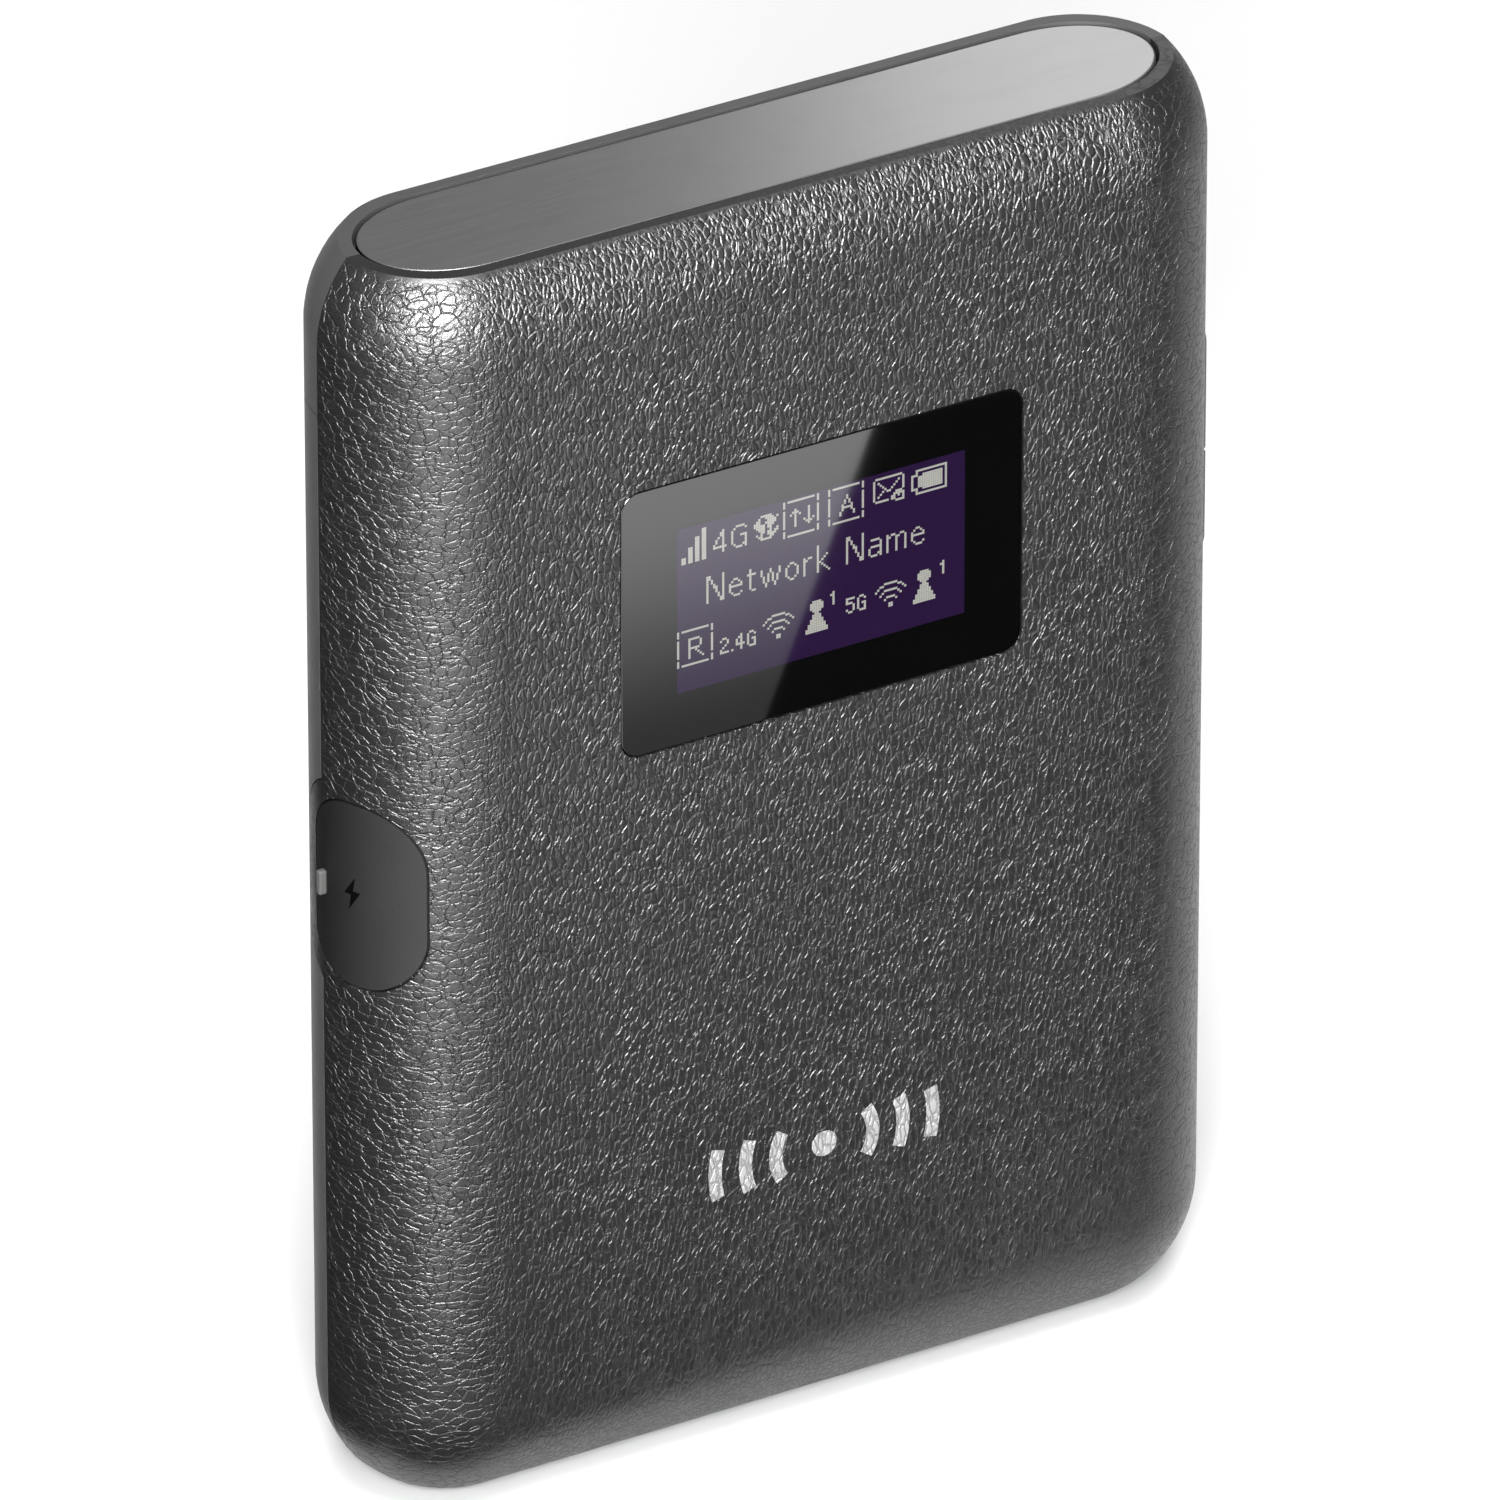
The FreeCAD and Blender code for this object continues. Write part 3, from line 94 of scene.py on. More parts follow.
class Finish:
    """A material: constants go on the shader's own sockets, patterns are fed to them."""

    def __init__(self, name, color, roughness, **constants):
        self.material = bpy.data.materials.new(name)
        self.material.use_nodes = True
        self.tree = self.material.node_tree
        self.shader = self.tree.nodes["Principled BSDF"]
        self.color = (*color, 1)
        self.shader.inputs["Base Color"].default_value = self.color
        self.shader.inputs["Roughness"].default_value = roughness
        for socket, value in constants.items():
            self.shader.inputs[socket.replace("_", " ")].default_value = value

    def node(self, kind, settings=None, values=None, output=0):
        """Adds any node: its settings first, then its values or links by socket."""
        made = self.tree.nodes.new(kind)
        for key, value in (settings or {}).items():
            setattr(made, key, value)
        for key, value in (values or {}).items():
            if isinstance(value, Wire):
                self.tree.links.new(value.socket, made.inputs[key])
            elif value is not None:
                made.inputs[key].default_value = value
        return Wire(self, made.outputs[output])

    def feed(self, socket, wire):
        self.tree.links.new(wire.socket, self.shader.inputs[socket])

    def place(self, stretch=(1, 1, 1)):
        """Place on the object in millimetres, stretched along each axis."""
        spot = self.node("ShaderNodeTexCoord", output="Object")
        return self.node("ShaderNodeVectorMath", {"operation": "MULTIPLY"},
                         {0: spot, 1: [1000 * s for s in stretch]})

    def axis(self, name):
        spot = self.place()
        return self.node("ShaderNodeSeparateXYZ", None, {0: spot}, name)

    def noise(self, scale, detail=3, stretch=(1, 1, 1)):
        return self.node("ShaderNodeTexNoise", None,
                         {"Vector": self.place(stretch), "Scale": scale, "Detail": detail})

    def ease(self, value, low, high, to_low=0.0, to_high=1.0):
        """Smooth step from one value to another."""
        return self.node("ShaderNodeMapRange", {"interpolation_type": "SMOOTHSTEP"},
                         {0: value, 1: low, 2: high, 3: to_low, 4: to_high})

    def blend(self, factor, first, second):
        """Mixes two colours."""
        return self.node("ShaderNodeMix", {"data_type": "RGBA"}, {0: factor, 6: first, 7: second}, 2)

    def tint(self, factor, low, high):
        """Base colour that runs from low to high times the finish's own colour."""
        dark = [c * low for c in self.color[:3]] + [1]
        light = [c * high for c in self.color[:3]] + [1]
        self.feed("Base Color", self.blend(factor, dark, light))

    def relief(self, height):
        """Surface relief, its height in millimetres."""
        self.feed("Normal", self.node("ShaderNodeBump", None,
                                      {"Strength": 1.0, "Distance": MM, "Height": height}))


print("sockets wrapped")

# %% [markdown]
# The front cover is moulded with a leather grain: rounded pebbles parted by fine creases.
# On the flat the pebbles are small and taller than wide, so the creases read as wavy
# upright dashes. On the edge rounding they are larger and wider than tall, with a finer
# net of shallow creases over them. A real grain could be displaced geometry, but at this
# depth (under a tenth of a millimetre) relief in the shading gives the same glints for
# far fewer faces. The creases are the borders of a Voronoi pattern whose place is pushed
# about by noise, so no line is straight, and a second noise makes them fade and return.
# The tops of the pebbles are worn a little smoother, and the creases get painted shade: their colour is
# darker.


# %% Leather grain
DOME_WIDTH = 0.6
SIDE_START, SIDE_FULL = 14.0, 22.0
GRAIN_TOP, GRAIN_REAR = 92.75, 0.0
TOOTH = 0.006


def creases(finish, stretch, push, width, depth, dome):
    """Height of pebbles and creases in millimetres; stretch is pebbles per millimetre,
    push is how far noise shifts them, width is the crease's share of a pebble."""
    spot = finish.place()
    wave = finish.node("ShaderNodeTexNoise", None, {"Vector": spot, "Scale": 0.7, "Detail": 4}, "Color")
    shift = finish.node("ShaderNodeVectorMath", {"operation": "SCALE"}, {0: wave, "Scale": push})
    moved = finish.node("ShaderNodeVectorMath", {"operation": "ADD"}, {0: spot, 1: shift})
    cells = finish.node("ShaderNodeVectorMath", {"operation": "MULTIPLY"}, {0: moved, 1: stretch})
    edge = finish.node("ShaderNodeTexVoronoi", {"feature": "DISTANCE_TO_EDGE"},
                       {"Vector": cells, "Scale": 1.0}, "Distance")
    broken = finish.ease(finish.noise(1.4, 2), 0.36, 0.56, 0.55, 1.0)
    cut = (finish.ease(edge, 0.0, width) - 1) * broken * depth
    return cut + finish.ease(edge, 0.0, DOME_WIDTH) * dome


def leather(name, color, roughness, painted_crease_shade, **constants):
    """Leather-grained plastic, smooth round the top plate and behind the seam."""
    finish = Finish(name, color, roughness, **constants)
    fine = creases(finish, (2.5, 2.5, 1.0), 0.8, 0.22, 0.07, 0.01)
    bold = creases(finish, (1.0, 1.0, 1.7), 1.1, 0.09, 0.055, 0.012)
    bold = bold + creases(finish, (2.4, 2.4, 3.2), 0.9, 0.12, 0.012, 0.0)
    x = abs(finish.axis("X"))
    y = finish.axis("Y")
    z = finish.axis("Z")
    side = finish.ease(x + y * 0.8, SIDE_START, SIDE_FULL)
    height = fine + (bold - fine) * side
    patch = finish.ease(finish.noise(0.12, 2), 0.35, 0.65, 0.85, 1.1)
    calm = finish.ease(z, 4.0, 24.0, 0.5, 1.0)
    below_rim = finish.ease(z, GRAIN_TOP - 0.4, GRAIN_TOP, 1.0, 0.0)
    covered = below_rim * finish.ease(y, GRAIN_REAR - 0.3, GRAIN_REAR, 1.0, 0.0)
    micro = finish.noise(7.0, 2) * TOOTH
    finish.relief(height * patch * calm * covered + micro)
    unshaded = finish.ease(height, -0.03, 0.0)
    # Painted shade: the base colour is darkened in the creases and kept on the pebble tops.
    finish.tint(unshaded, painted_crease_shade, 1.05)
    finish.feed("Roughness", roughness + 0.1 - unshaded * 0.1 + (finish.noise(0.5, 3) - 0.5) * 0.1)
    return finish


cover_finish = leather("leather_grain_grey", (0.006, 0.006, 0.0061), 0.38, 0.2)
print("leather nodes", len(cover_finish.tree.nodes))

# %% [markdown]
# The rear shell, the keys and the rubber flap have no grain, only the fine tooth that
# a spark-eroded mould leaves. It is a close noise a few thousandths of a millimetre deep,
# with a slow change of gloss over it where hands have polished the plastic.


# %% Moulded plastics and rubber
def moulded(name, color, roughness, tooth=0.004, scale=5.0, **constants):
    """Plain moulded surface with a fine tooth and slowly drifting gloss."""
    finish = Finish(name, color, roughness, **constants)
    finish.relief(finish.noise(scale, 2) * tooth)
    slow = finish.noise(0.15, 4)
    finish.tint(slow, 0.88, 1.12)
    finish.feed("Roughness", roughness + (slow - 0.5) * 0.1)
    return finish


shell_finish = moulded("satin_shell_grey", (0.042, 0.042, 0.043), 0.5)
key_finish = moulded("key_grey", (0.05, 0.05, 0.051), 0.45)
holder_finish = moulded("inner_moulding_black", (0.03, 0.03, 0.032), 0.6)
connector_finish = moulded("connector_black", (0.02, 0.02, 0.021), 0.5)
foam_finish = moulded("foam_black", (0.02, 0.02, 0.02), 0.9, 0.05, 3.0)
sim_finish = moulded("card_white", (0.7, 0.7, 0.69), 0.4, 0.002)
print("moulded", [f.material.name for f in (shell_finish, key_finish, holder_finish, sim_finish)])

# %% [markdown]
# The flap is soft rubber, painted lighter towards its front edge as a painted highlight of
# the lit left rounding. The nub that a fingernail catches is pale. Both live on one moulding,
# so the nub's colour comes from its place: it stands proud of the case side.

# %% Rubber flap
NUB_PROUD = 0.42
FLAP_REAR_Y, FLAP_FRONT_Y = 0.5, -7.0
flap_finish = Finish("flap_rubber_grey", (0.058, 0.058, 0.059), 0.55, Specular_IOR_Level=0.12)
flap_low, flap_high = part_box("port_flap")
nub_start = flap_low.x * 1000 + NUB_PROUD
proud = flap_finish.ease(flap_finish.axis("X"), nub_start, nub_start + 0.1, 1.0, 0.0)
front = flap_finish.ease(flap_finish.axis("Y"), FLAP_FRONT_Y, FLAP_REAR_Y, 1.0, 0.0)
# Painted highlight: the rubber's colour is lighter towards the flap's front edge.
rubber = flap_finish.blend(front, (0.005, 0.005, 0.0051, 1), (0.018, 0.018, 0.0182, 1))
flap_finish.feed("Base Color", flap_finish.blend(proud, rubber, (0.075, 0.075, 0.074, 1)))
flap_finish.feed("Roughness", 0.5 + flap_finish.noise(0.4, 4) * 0.15)
flap_finish.relief(flap_finish.noise(4.0, 3) * 0.012)
print("flap from", flap_low, "to", flap_high)

# %% [markdown]
# The top plate is aluminium with a satin anodised face. Rolling leaves faint lines along
# its length, so the relief is a noise stretched along X. Almost all of what it shows is
# the lamp behind it, blurred. Its rounded rim gets painted shade, a darker colour, which
# fades out at the right end, where the lamp's highlight shows.


# %% Satin plate and pressed metals
UNSHADED_START, UNSHADED_FULL = 16.0, 27.0
RIM_SHADE_FULL_Z, RIM_SHADE_END_Z = 92.62, 92.695


def drawn_metal(name, color, roughness, stretch, depth, shade=None, **constants):
    """Metal with rolling or brushing lines along the axis whose stretch is smallest."""
    finish = Finish(name, color, roughness, Metallic=1.0, **constants)
    lines = finish.noise(3.0, 3, stretch)
    finish.relief(lines * depth)
    bright = finish.noise(0.3, 3) * 0.14 + 0.93
    # A given shade multiplies the colour: on the plate it paints shade on the rounded rim.
    if shade:
        bright = bright * shade(finish)
    finish.tint(bright, 0.0, 1.0)
    finish.feed("Roughness", roughness + (lines - 0.5) * 0.1)
    return finish


def plate_rim_shade(finish):
    """0 on the plate's rounded rim, which gets painted shade, 1 on its face and at the right end, where
    the painted shade fades out for the highlight.
    """
    unshaded = finish.ease(finish.axis("X"), UNSHADED_START, UNSHADED_FULL)
    flat = finish.ease(finish.axis("Z"), RIM_SHADE_FULL_Z, RIM_SHADE_END_Z)
    return flat + unshaded - flat * unshaded


plate_finish = drawn_metal("anodised_plate", (0.34, 0.34, 0.345), 0.33, (0.05, 3, 3), 0.002, plate_rim_shade)
shield_finish = drawn_metal("tinned_sheet", (0.66, 0.66, 0.64), 0.3, (1, 1, 0.1), 0.003)
steel_finish = drawn_metal("plated_steel", (0.6, 0.6, 0.6), 0.28, (0.2, 1, 1), 0.003)
screw_finish = drawn_metal("black_oxide", (0.18, 0.18, 0.19), 0.35, (1, 0.3, 1), 0.004)
gold_finish = drawn_metal("gilt_contact", (0.83, 0.6, 0.26), 0.25, (1, 1, 0.3), 0.002)
print("metals", plate_finish.material.name, gold_finish.material.name)

# %% [markdown]
# The circuit board shows when the back is off. Solder mask lies over copper, so the
# tracks show as slightly raised, slightly lighter lines. They run square to each other:
# two wave patterns cut by a coarse cell pattern look like routed tracks without drawing
# each one. The antennas are amber film with copper underneath.


# %% Board, film and chips
def bands(finish, direction, scale):
    """Straight soft-edged bands that follow one another along an axis."""
    return finish.node("ShaderNodeTexWave", {"bands_direction": direction},
                       {"Vector": finish.place(), "Scale": scale, "Distortion": 0.0})


board_finish = Finish("solder_mask_green", (0.012, 0.075, 0.04), 0.35, Coat_Weight=0.3)
cell = board_finish.node("ShaderNodeTexVoronoi", {"distance": "CHEBYCHEV"},
                         {"Vector": board_finish.place(), "Scale": 0.16, "Randomness": 0.7}, "Color")
upright = board_finish.node("ShaderNodeSeparateColor", None, {0: cell}) > 0.5
across = bands(board_finish, "X", 0.42)
along = bands(board_finish, "Z", 0.42)
tracks = board_finish.ease(across * upright + along * (1 - upright), 0.55, 0.7)
board_finish.tint(tracks, 0.8, 2.1)
board_finish.relief(tracks * 0.02)

film_finish = Finish("amber_film", (0.42, 0.2, 0.04), 0.3, Coat_Weight=0.4)
copper = film_finish.ease(bands(film_finish, "X", 0.3), 0.4, 0.6)
film_finish.tint(copper, 0.55, 1.2)
film_finish.relief(copper * 0.01)

chip_finish = moulded("chip_resin", (0.022, 0.022, 0.024), 0.55, 0.006, 6.0)
print("board, film and chips done")

# %% [markdown]
# The battery is wrapped in grey film with a lighter panel, edged by a thin line, where
# a real one has its data. The panel is left blank. Its edges come from the cell's own
# box, so it stays centred if the cell's size changes.

# %% Battery wrap
LABEL_IN_X, LABEL_IN_Z, LINE_WIDTH, LABEL_SOFT = 4.0, 5.0, 0.6, 0.08
battery_finish = Finish("cell_wrap_grey", (0.16, 0.16, 0.17), 0.4)
cell_low, cell_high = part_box("battery_pack")
cell_mid = (cell_low + cell_high) * 500
cell_half = (cell_high - cell_low) * 500


def panel(finish, inset):
    """1 inside a rectangle on the cell's flat face, 0 outside."""
    inside = []
    for name, middle, half in (("X", cell_mid.x, cell_half.x - LABEL_IN_X - inset),
                               ("Z", cell_mid.z, cell_half.z - LABEL_IN_Z - inset)):
        inside.append(finish.ease(abs(finish.axis(name) - middle), half - LABEL_SOFT, half, 1.0, 0.0))
    return inside[0] * inside[1]


label = panel(battery_finish, 0.0)
inner = panel(battery_finish, LINE_WIDTH)
line = label - inner
wrap = battery_finish.blend(label, (0.15, 0.15, 0.16, 1), (0.5, 0.5, 0.5, 1))
battery_finish.feed("Base Color", battery_finish.blend(line, wrap, (0.05, 0.05, 0.055, 1)))
battery_finish.feed("Roughness", 0.38 + battery_finish.noise(0.3, 4) * 0.12)
battery_finish.relief(battery_finish.noise(0.4, 3) * 0.02 + label * 0.02)
print("cell middle", cell_mid)

# %% [markdown]
# The window is a clear lens with black ink on its back. Real ink behind real glass would
# need light to pass through twice, which renders noisily, so the lens is a deep black
# gloss and the lit screen lies in its face, under the same gloss. The mirror of the room
# then runs unbroken over frame and screen, as it does on the real one.


# %% Lens and screen glass
def polished(name, color, **constants):
    """Gloss black or tinted surface with the faintest waviness."""
    finish = Finish(name, color, 0.03, **constants)
    finish.feed("Roughness", 0.02 + finish.noise(0.2, 2) * 0.02)
    return finish


lens_finish = polished("lens_black", (0.0015, 0.0015, 0.0016), IOR=1.5)
panel_finish = polished("module_glass", (0.006, 0.004, 0.008), IOR=1.5)
print("lens ready")

# %% [markdown]
# Every solid node now takes the finish of its material slot in the record, which keeps
# the list short: a node that shares a slot shares a finish.

# %% Give each node its finish
finishes = {
    "leather_plastic": cover_finish, "shell_plastic": shell_finish, "plate_metal": plate_finish,
    "lens": lens_finish, "display_glass": panel_finish, "foam": foam_finish,
    "inner_plastic": holder_finish, "flex_circuit": film_finish, "connector_plastic": connector_finish,
    "circuit_board": board_finish, "shield_tin": shield_finish, "chip_resin": chip_finish,
    "usb_steel": steel_finish, "flap_rubber": flap_finish, "key_plastic": key_finish,
    "switch_steel": shield_finish, "battery_wrap": battery_finish, "contact_gold": gold_finish,
    "sim_steel": steel_finish, "sim_plastic": sim_finish, "antenna_film": film_finish,
    "screw_steel": screw_finish,
}
for entry in frame["record"]["subparts"]:
    mesh = frame["nodes"][entry["node"]].data
    mesh.materials.clear()
    mesh.materials.append(finishes[entry["material_slot"]].material)

# %% [markdown]
# Small added pieces all end the same way: a bmesh becomes an object at the origin, gets
# its finish and rides on a body. Two helpers do that, and the first also serves the
# table and the cards, which ride on nothing.


# %% Helpers for added pieces
def make_object(name, shape, finish):
    """Turns a bmesh into an object at the origin with one finish."""
    mesh = bpy.data.meshes.new(name)
    shape.to_mesh(mesh)
    shape.free()
    mesh.materials.append(finish.material)
    made = bpy.data.objects.new(name, mesh)
    bpy.context.scene.collection.objects.link(made)
    return made


def make_piece(name, shape, finish, body):
    """Turns a bmesh into a finished piece that rides on a body."""
    bmesh.ops.recalc_face_normals(shape, faces=shape.faces)
    piece = make_object(name, shape, finish)
    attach(piece, body)
    print(name, "faces", len(piece.data.polygons))


def thicken(shape, depth):
    """Gives a flat shape a thickness along Y, both ways from its plane."""
    bmesh.ops.translate(shape, vec=(0, -depth / 2, 0), verts=shape.verts)
    grown = bmesh.ops.extrude_face_region(shape, geom=shape.faces[:])
    verts = [v for v in grown["geom"] if isinstance(v, bmesh.types.BMVert)]
    bmesh.ops.translate(shape, vec=(0, depth, 0), verts=verts)


# %% [markdown]
# The mark low on the front is a silver print over the grain. Here it is a plain radio
# sign: a dot between three pairs of arcs. Each arc is two vertices spun round a point
# just beside the dot's middle. The print's own relief is the cover's grain, read from the
# same place, so pebbles show through the silver.

# %% Silver print on the front
PRINT_X, PRINT_Z = 0.2, 22.0
PRINT_THICK = 0.03
DOT_RADIUS, DOT_SEGMENTS = 0.95, 40
ARC_WIDTH, ARC_STEPS, ARC_OFFSET = 1.0, 24, 0.6
UPRIGHT = Matrix.Rotation(math.pi / 2, 4, "X")
face_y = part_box("front_cover")[0].y


def arc(shape, middle_x, radius, start, sweep):
    """Flat ring sector in the XZ plane, in millimetres and degrees."""
    angle = math.radians(start)
    verts = []
    for r in (radius - ARC_WIDTH / 2, radius + ARC_WIDTH / 2):
        spot = (middle_x + r * math.cos(angle), 0, PRINT_Z + r * math.sin(angle))
        verts.append(shape.verts.new([c * MM for c in spot]))
    edge = shape.edges.new(verts)
    bmesh.ops.spin(shape, geom=[*verts, edge], cent=(middle_x * MM, 0, PRINT_Z * MM), axis=(0, -1, 0),
                   angle=math.radians(sweep), steps=ARC_STEPS, use_merge=False)


shape = bmesh.new()
turn = Matrix.Translation(Vector((PRINT_X, 0, PRINT_Z)) * MM) @ UPRIGHT
bmesh.ops.create_circle(shape, cap_ends=True, segments=DOT_SEGMENTS, radius=DOT_RADIUS * MM, matrix=turn)
for radius, spread in ((3.1, 34), (5.4, 20.5), (7.7, 14.0)):
    for middle_x, side in ((PRINT_X + ARC_OFFSET, 0), (PRINT_X - ARC_OFFSET, 180)):
        arc(shape, middle_x, radius, side - spread, 2 * spread)
thicken(shape, PRINT_THICK * MM)
bmesh.ops.translate(shape, vec=(0, face_y, 0), verts=shape.verts)
# The print uses the leather finish, so its creases get the same painted shade.
silver = leather("silver_print", (0.34, 0.34, 0.34), 0.42, 0.6, Metallic=0.3)
make_piece("front_print", shape, silver, "case")

# %% [markdown]
# The screen is a dot matrix: 128 columns of tiny squares that light up. Each sign is a
# little picture in text, one character a dot, which is easy to read and to correct.
# Every lit dot is one face lying in the lens. An image would do it too, but faces stay
# crisp however near the camera comes. The layout gives each sign's left column and top
# row, counted from the screen's upper left corner.

# %% Signs as dot pictures
SIGNS = {
    "bars": ["         ##", "         ##", "         ##", "      ## ##", "      ## ##", "      ## ##",
             "      ## ##", "   ## ## ##", "   ## ## ##", "   ## ## ##", "   ## ## ##", "## ## ## ##",
             "## ## ## ##", "## ## ## ##"],
    "four": ["    # ", "   ## ", "   ## ", "  # # ", " #  # ", " #  # ", "#   # ", "######", "    # ",
             "    # "],
    "gee": ["  #### ", " #    #", "#      ", "#      ", "#   ###", "#     #", "#     #", "#     #",
            " #   ##", "  ### #"],
    "globe": ["   #####   ", "  #  #### #", " ##   #### ", "###  ##### ", "##### ###  ", " #### ##   ",
              "  ###  #  #", "   ## ## ##", " # #  #### ", "  ##   ##  ", "   #####   "],
    "box": ["# ############ #", "#              #", "#              #", "                ",
            "#              #", "#              #", "#              #", "#              #",
            "#              #", "#              #", "#              #", "#              #",
            "                ", "#              #", "#              #", "# ############ #"],
    "arrows": ["  #     # ", " ###    # ", "# # #   # ", "  #     # ", "  #     # ", "  #   # # #",
               "  #    ### ", "  #     #  "],
    "aye": ["   #   ", "   #   ", "  # #  ", "  # #  ", " #   # ", " ##### ", " #   # ", "#     #",
            "#     #"],
    "are": ["#####  ", "#    # ", "#    # ", "#    # ", "#####  ", "#  #   ", "#   #  ", "#    # ",
            "#     #"],
    "letter": [" ############ ", "#            #", "# #        # #", "#  #      #  #", "#   #    #   #",
               "#    #  #    #", "#   # ##     #", "#  #      ### ", "# #      #####", "#       ## # #",
               " ###### ##   #", "          ####"],
    "cell": ["  ##############", "  #            #", "###  ######### #", "#  ########### #",
             "#  ########### #", "#  ########### #", "#  ########### #", "#  ########### #",
             "###  ######### #", "  #            #", "  ##############"],
    "waves": ["    ######    ", "  ##      ##  ", " #          # ", "#   ######   #", "   #      #   ",
              "  #        #  ", "     ####     ", "    #    #    ", "              ", "      ##      ",
              "      ##      "],
    "user": ["   ####   ", "  ######  ", "  ######  ", "  ######  ", "   ####   ", "    ##    ",
             "   ####   ", "   ####   ", "  ######  ", "  ######  ", " ######## ", " ######## ",
             "##########", "##########"],
    "one": [" #", "##", " #", " #", " #", " #"],
    "five": ["####", "#   ", "### ", "   #", "   #", "#  #", " ## "],
    "small gee": [" ## ", "#  #", "#   ", "# ##", "#  #", "#  #", " ###"],
    "two": [" ## ", "#  #", "   #", "  # ", " #  ", "#   ", "####"],
    "point": ["  ", "  ", "  ", "  ", "  ", "  ", "# "],
    "small four": ["  # ", " ## ", "# # ", "# # ", "####", "  # ", "  # "],
    "N": ["##     #", "##     #", "# #    #", "# #    #", "#  #   #", "#  ##  #", "#   #  #",
          "#   #  #", "#    # #", "#    # #", "#     ##", "#     ##"],
    "a": [" #### ", "     #", "     #", " #####", "#    #", "#    #", "#   ##", " ### #"],
    "e": ["  ##  ", " #  # ", "#    #", "######", "#     ", "#     ", " #   #", "  ### "],
    "t": [" #  ", " #  ", "####", " #  ", " #  ", " #  ", " #  ", " #  ", " #  ", "  ##"],
    "w": ["#   #   #", "#   #   #", "#  # #  #", " # # # # ", " # # # # ", " # # # # ", "  #   #  ",
          "  #   #  "],
    "o": ["  ##  ", " #  # ", "#    #", "#    #", "#    #", "#    #", " #  # ", "  ##  "],
    "r": ["# ##", "##  ", "#   ", "#   ", "#   ", "#   ", "#   ", "#   "],
    "k": ["#     ", "#     ", "#     ", "#     ", "#   # ", "#  #  ", "# #   ", "##    ", "# #   ",
          "#  #  ", "#   # ", "#    #"],
    "m": ["# ##  ## ", "##  ##  #", "#   #   #", "#   #   #", "#   #   #", "#   #   #", "#   #   #",
          "#   #   #"],
}
LAYOUT = [("bars", 2, 2), ("four", 16, 5), ("gee", 24, 5), ("globe", 34, 4), ("box", 47, 1),
          ("arrows", 50, 5), ("box", 67, 1), ("aye", 72, 5), ("letter", 87, 2), ("cell", 104, 3),
          ("box", 0, 45), ("are", 5, 49), ("two", 19, 53), ("point", 24, 53),
          ("small four", 26, 53), ("small gee", 31, 53), ("waves", 38, 49), ("user", 57, 48),
          ("one", 68, 46), ("five", 75, 51), ("small gee", 80, 51), ("waves", 88, 49),
          ("user", 105, 48), ("one", 117, 46)]
TEXT_START, TEXT_BOTTOM, WORD_GAP, LETTER_GAP = 13, 36, 5, 2
column = TEXT_START
for sign in "Network Name":
    if sign == " ":
        column += WORD_GAP
        continue
    LAYOUT.append((sign, column, TEXT_BOTTOM - len(SIGNS[sign])))
    column += max(len(row) for row in SIGNS[sign]) + LETTER_GAP
dots = {(left + i, top + j) for sign, left, top in LAYOUT
        for j, row in enumerate(SIGNS[sign]) for i, mark in enumerate(row) if mark == "#"}
print("lit dots", len(dots), "text ends at column", column)

# %% [markdown]
# The lit area sits a little low and to the side in the lens. It glows a deep violet even
# where no dot is lit, so it is a sheet of its own, and the dots lie a hair in front.

# %% Screen field and dots
window_low, window_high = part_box("display_window")
window = (window_low + window_high) / 2
COLUMNS, ROWS = 128, 72
SCREEN_WIDTH = 21.6
PITCH = SCREEN_WIDTH / COLUMNS
LIT_SHARE = 0.94
SCREEN_PROUD, DOT_PROUD = 0.004, 0.003
screen_left = window.x * 1000 - 10.88
screen_top = window.z * 1000 + 6.2
screen_y = window_low.y - SCREEN_PROUD * MM


def tile(shape, left, top, wide, high, y):
    """One upright rectangle facing -Y, its left top corner given in millimetres."""
    middle = Vector((left + wide / 2, 0, top - high / 2)) * MM
    middle.y = y
    place = Matrix.Translation(middle) @ UPRIGHT @ Matrix.Diagonal((wide * MM, high * MM, 1, 1))
    bmesh.ops.create_grid(shape, x_segments=1, y_segments=1, size=0.5, matrix=place)


def glowing(name, color, glow):
    """Polished surface that gives light of its own."""
    finish = polished(name, color, IOR=1.5, Emission_Strength=1.0)
    level = finish.noise(1.5, 2) * 0.3 + 0.85
    shade = finish.node("ShaderNodeVectorMath", {"operation": "SCALE"}, {0: glow, "Scale": level})
    finish.feed("Emission Color", shade)
    return finish


shape = bmesh.new()
tile(shape, screen_left, screen_top, SCREEN_WIDTH, ROWS * PITCH, screen_y)
field = glowing("screen_violet", (0.004, 0.002, 0.008), (0.014, 0.005, 0.026))
make_piece("screen_field", shape, field, "case")

shape = bmesh.new()
for i, j in sorted(dots):
    tile(shape, screen_left + i * PITCH, screen_top - j * PITCH, PITCH * LIT_SHARE, PITCH * LIT_SHARE,
         screen_y - DOT_PROUD * MM)
lit = glowing("screen_lit_dot", (0.02, 0.02, 0.02), (0.42, 0.42, 0.38))
make_piece("screen_dots", shape, lit, "case")

# %% [markdown]
# A small sign on the flap says that the socket takes power: a plain bolt. It is sunk in
# the rubber on the real one and reads as a dark shape. Here it is a thin dark skin, painted
# shade for the sunk sign: a six-cornered face, cut into strips so that it can follow the rounded side.


# %% Charging sign on the flap
HALF_WIDTH = 32.75
EDGE_ROUND = 8.85
ROUND_EXTRA = 0.55
SIGN_Y, SIGN_Z = -2.8, 47.6
SIGN_PROUD = 0.012
STRIP = 0.1


def side_x(y):
    """Half width of the case at depth y, in millimetres."""
    return HALF_WIDTH - EDGE_ROUND + math.sqrt(EDGE_ROUND ** 2 - (abs(y) + ROUND_EXTRA) ** 2)


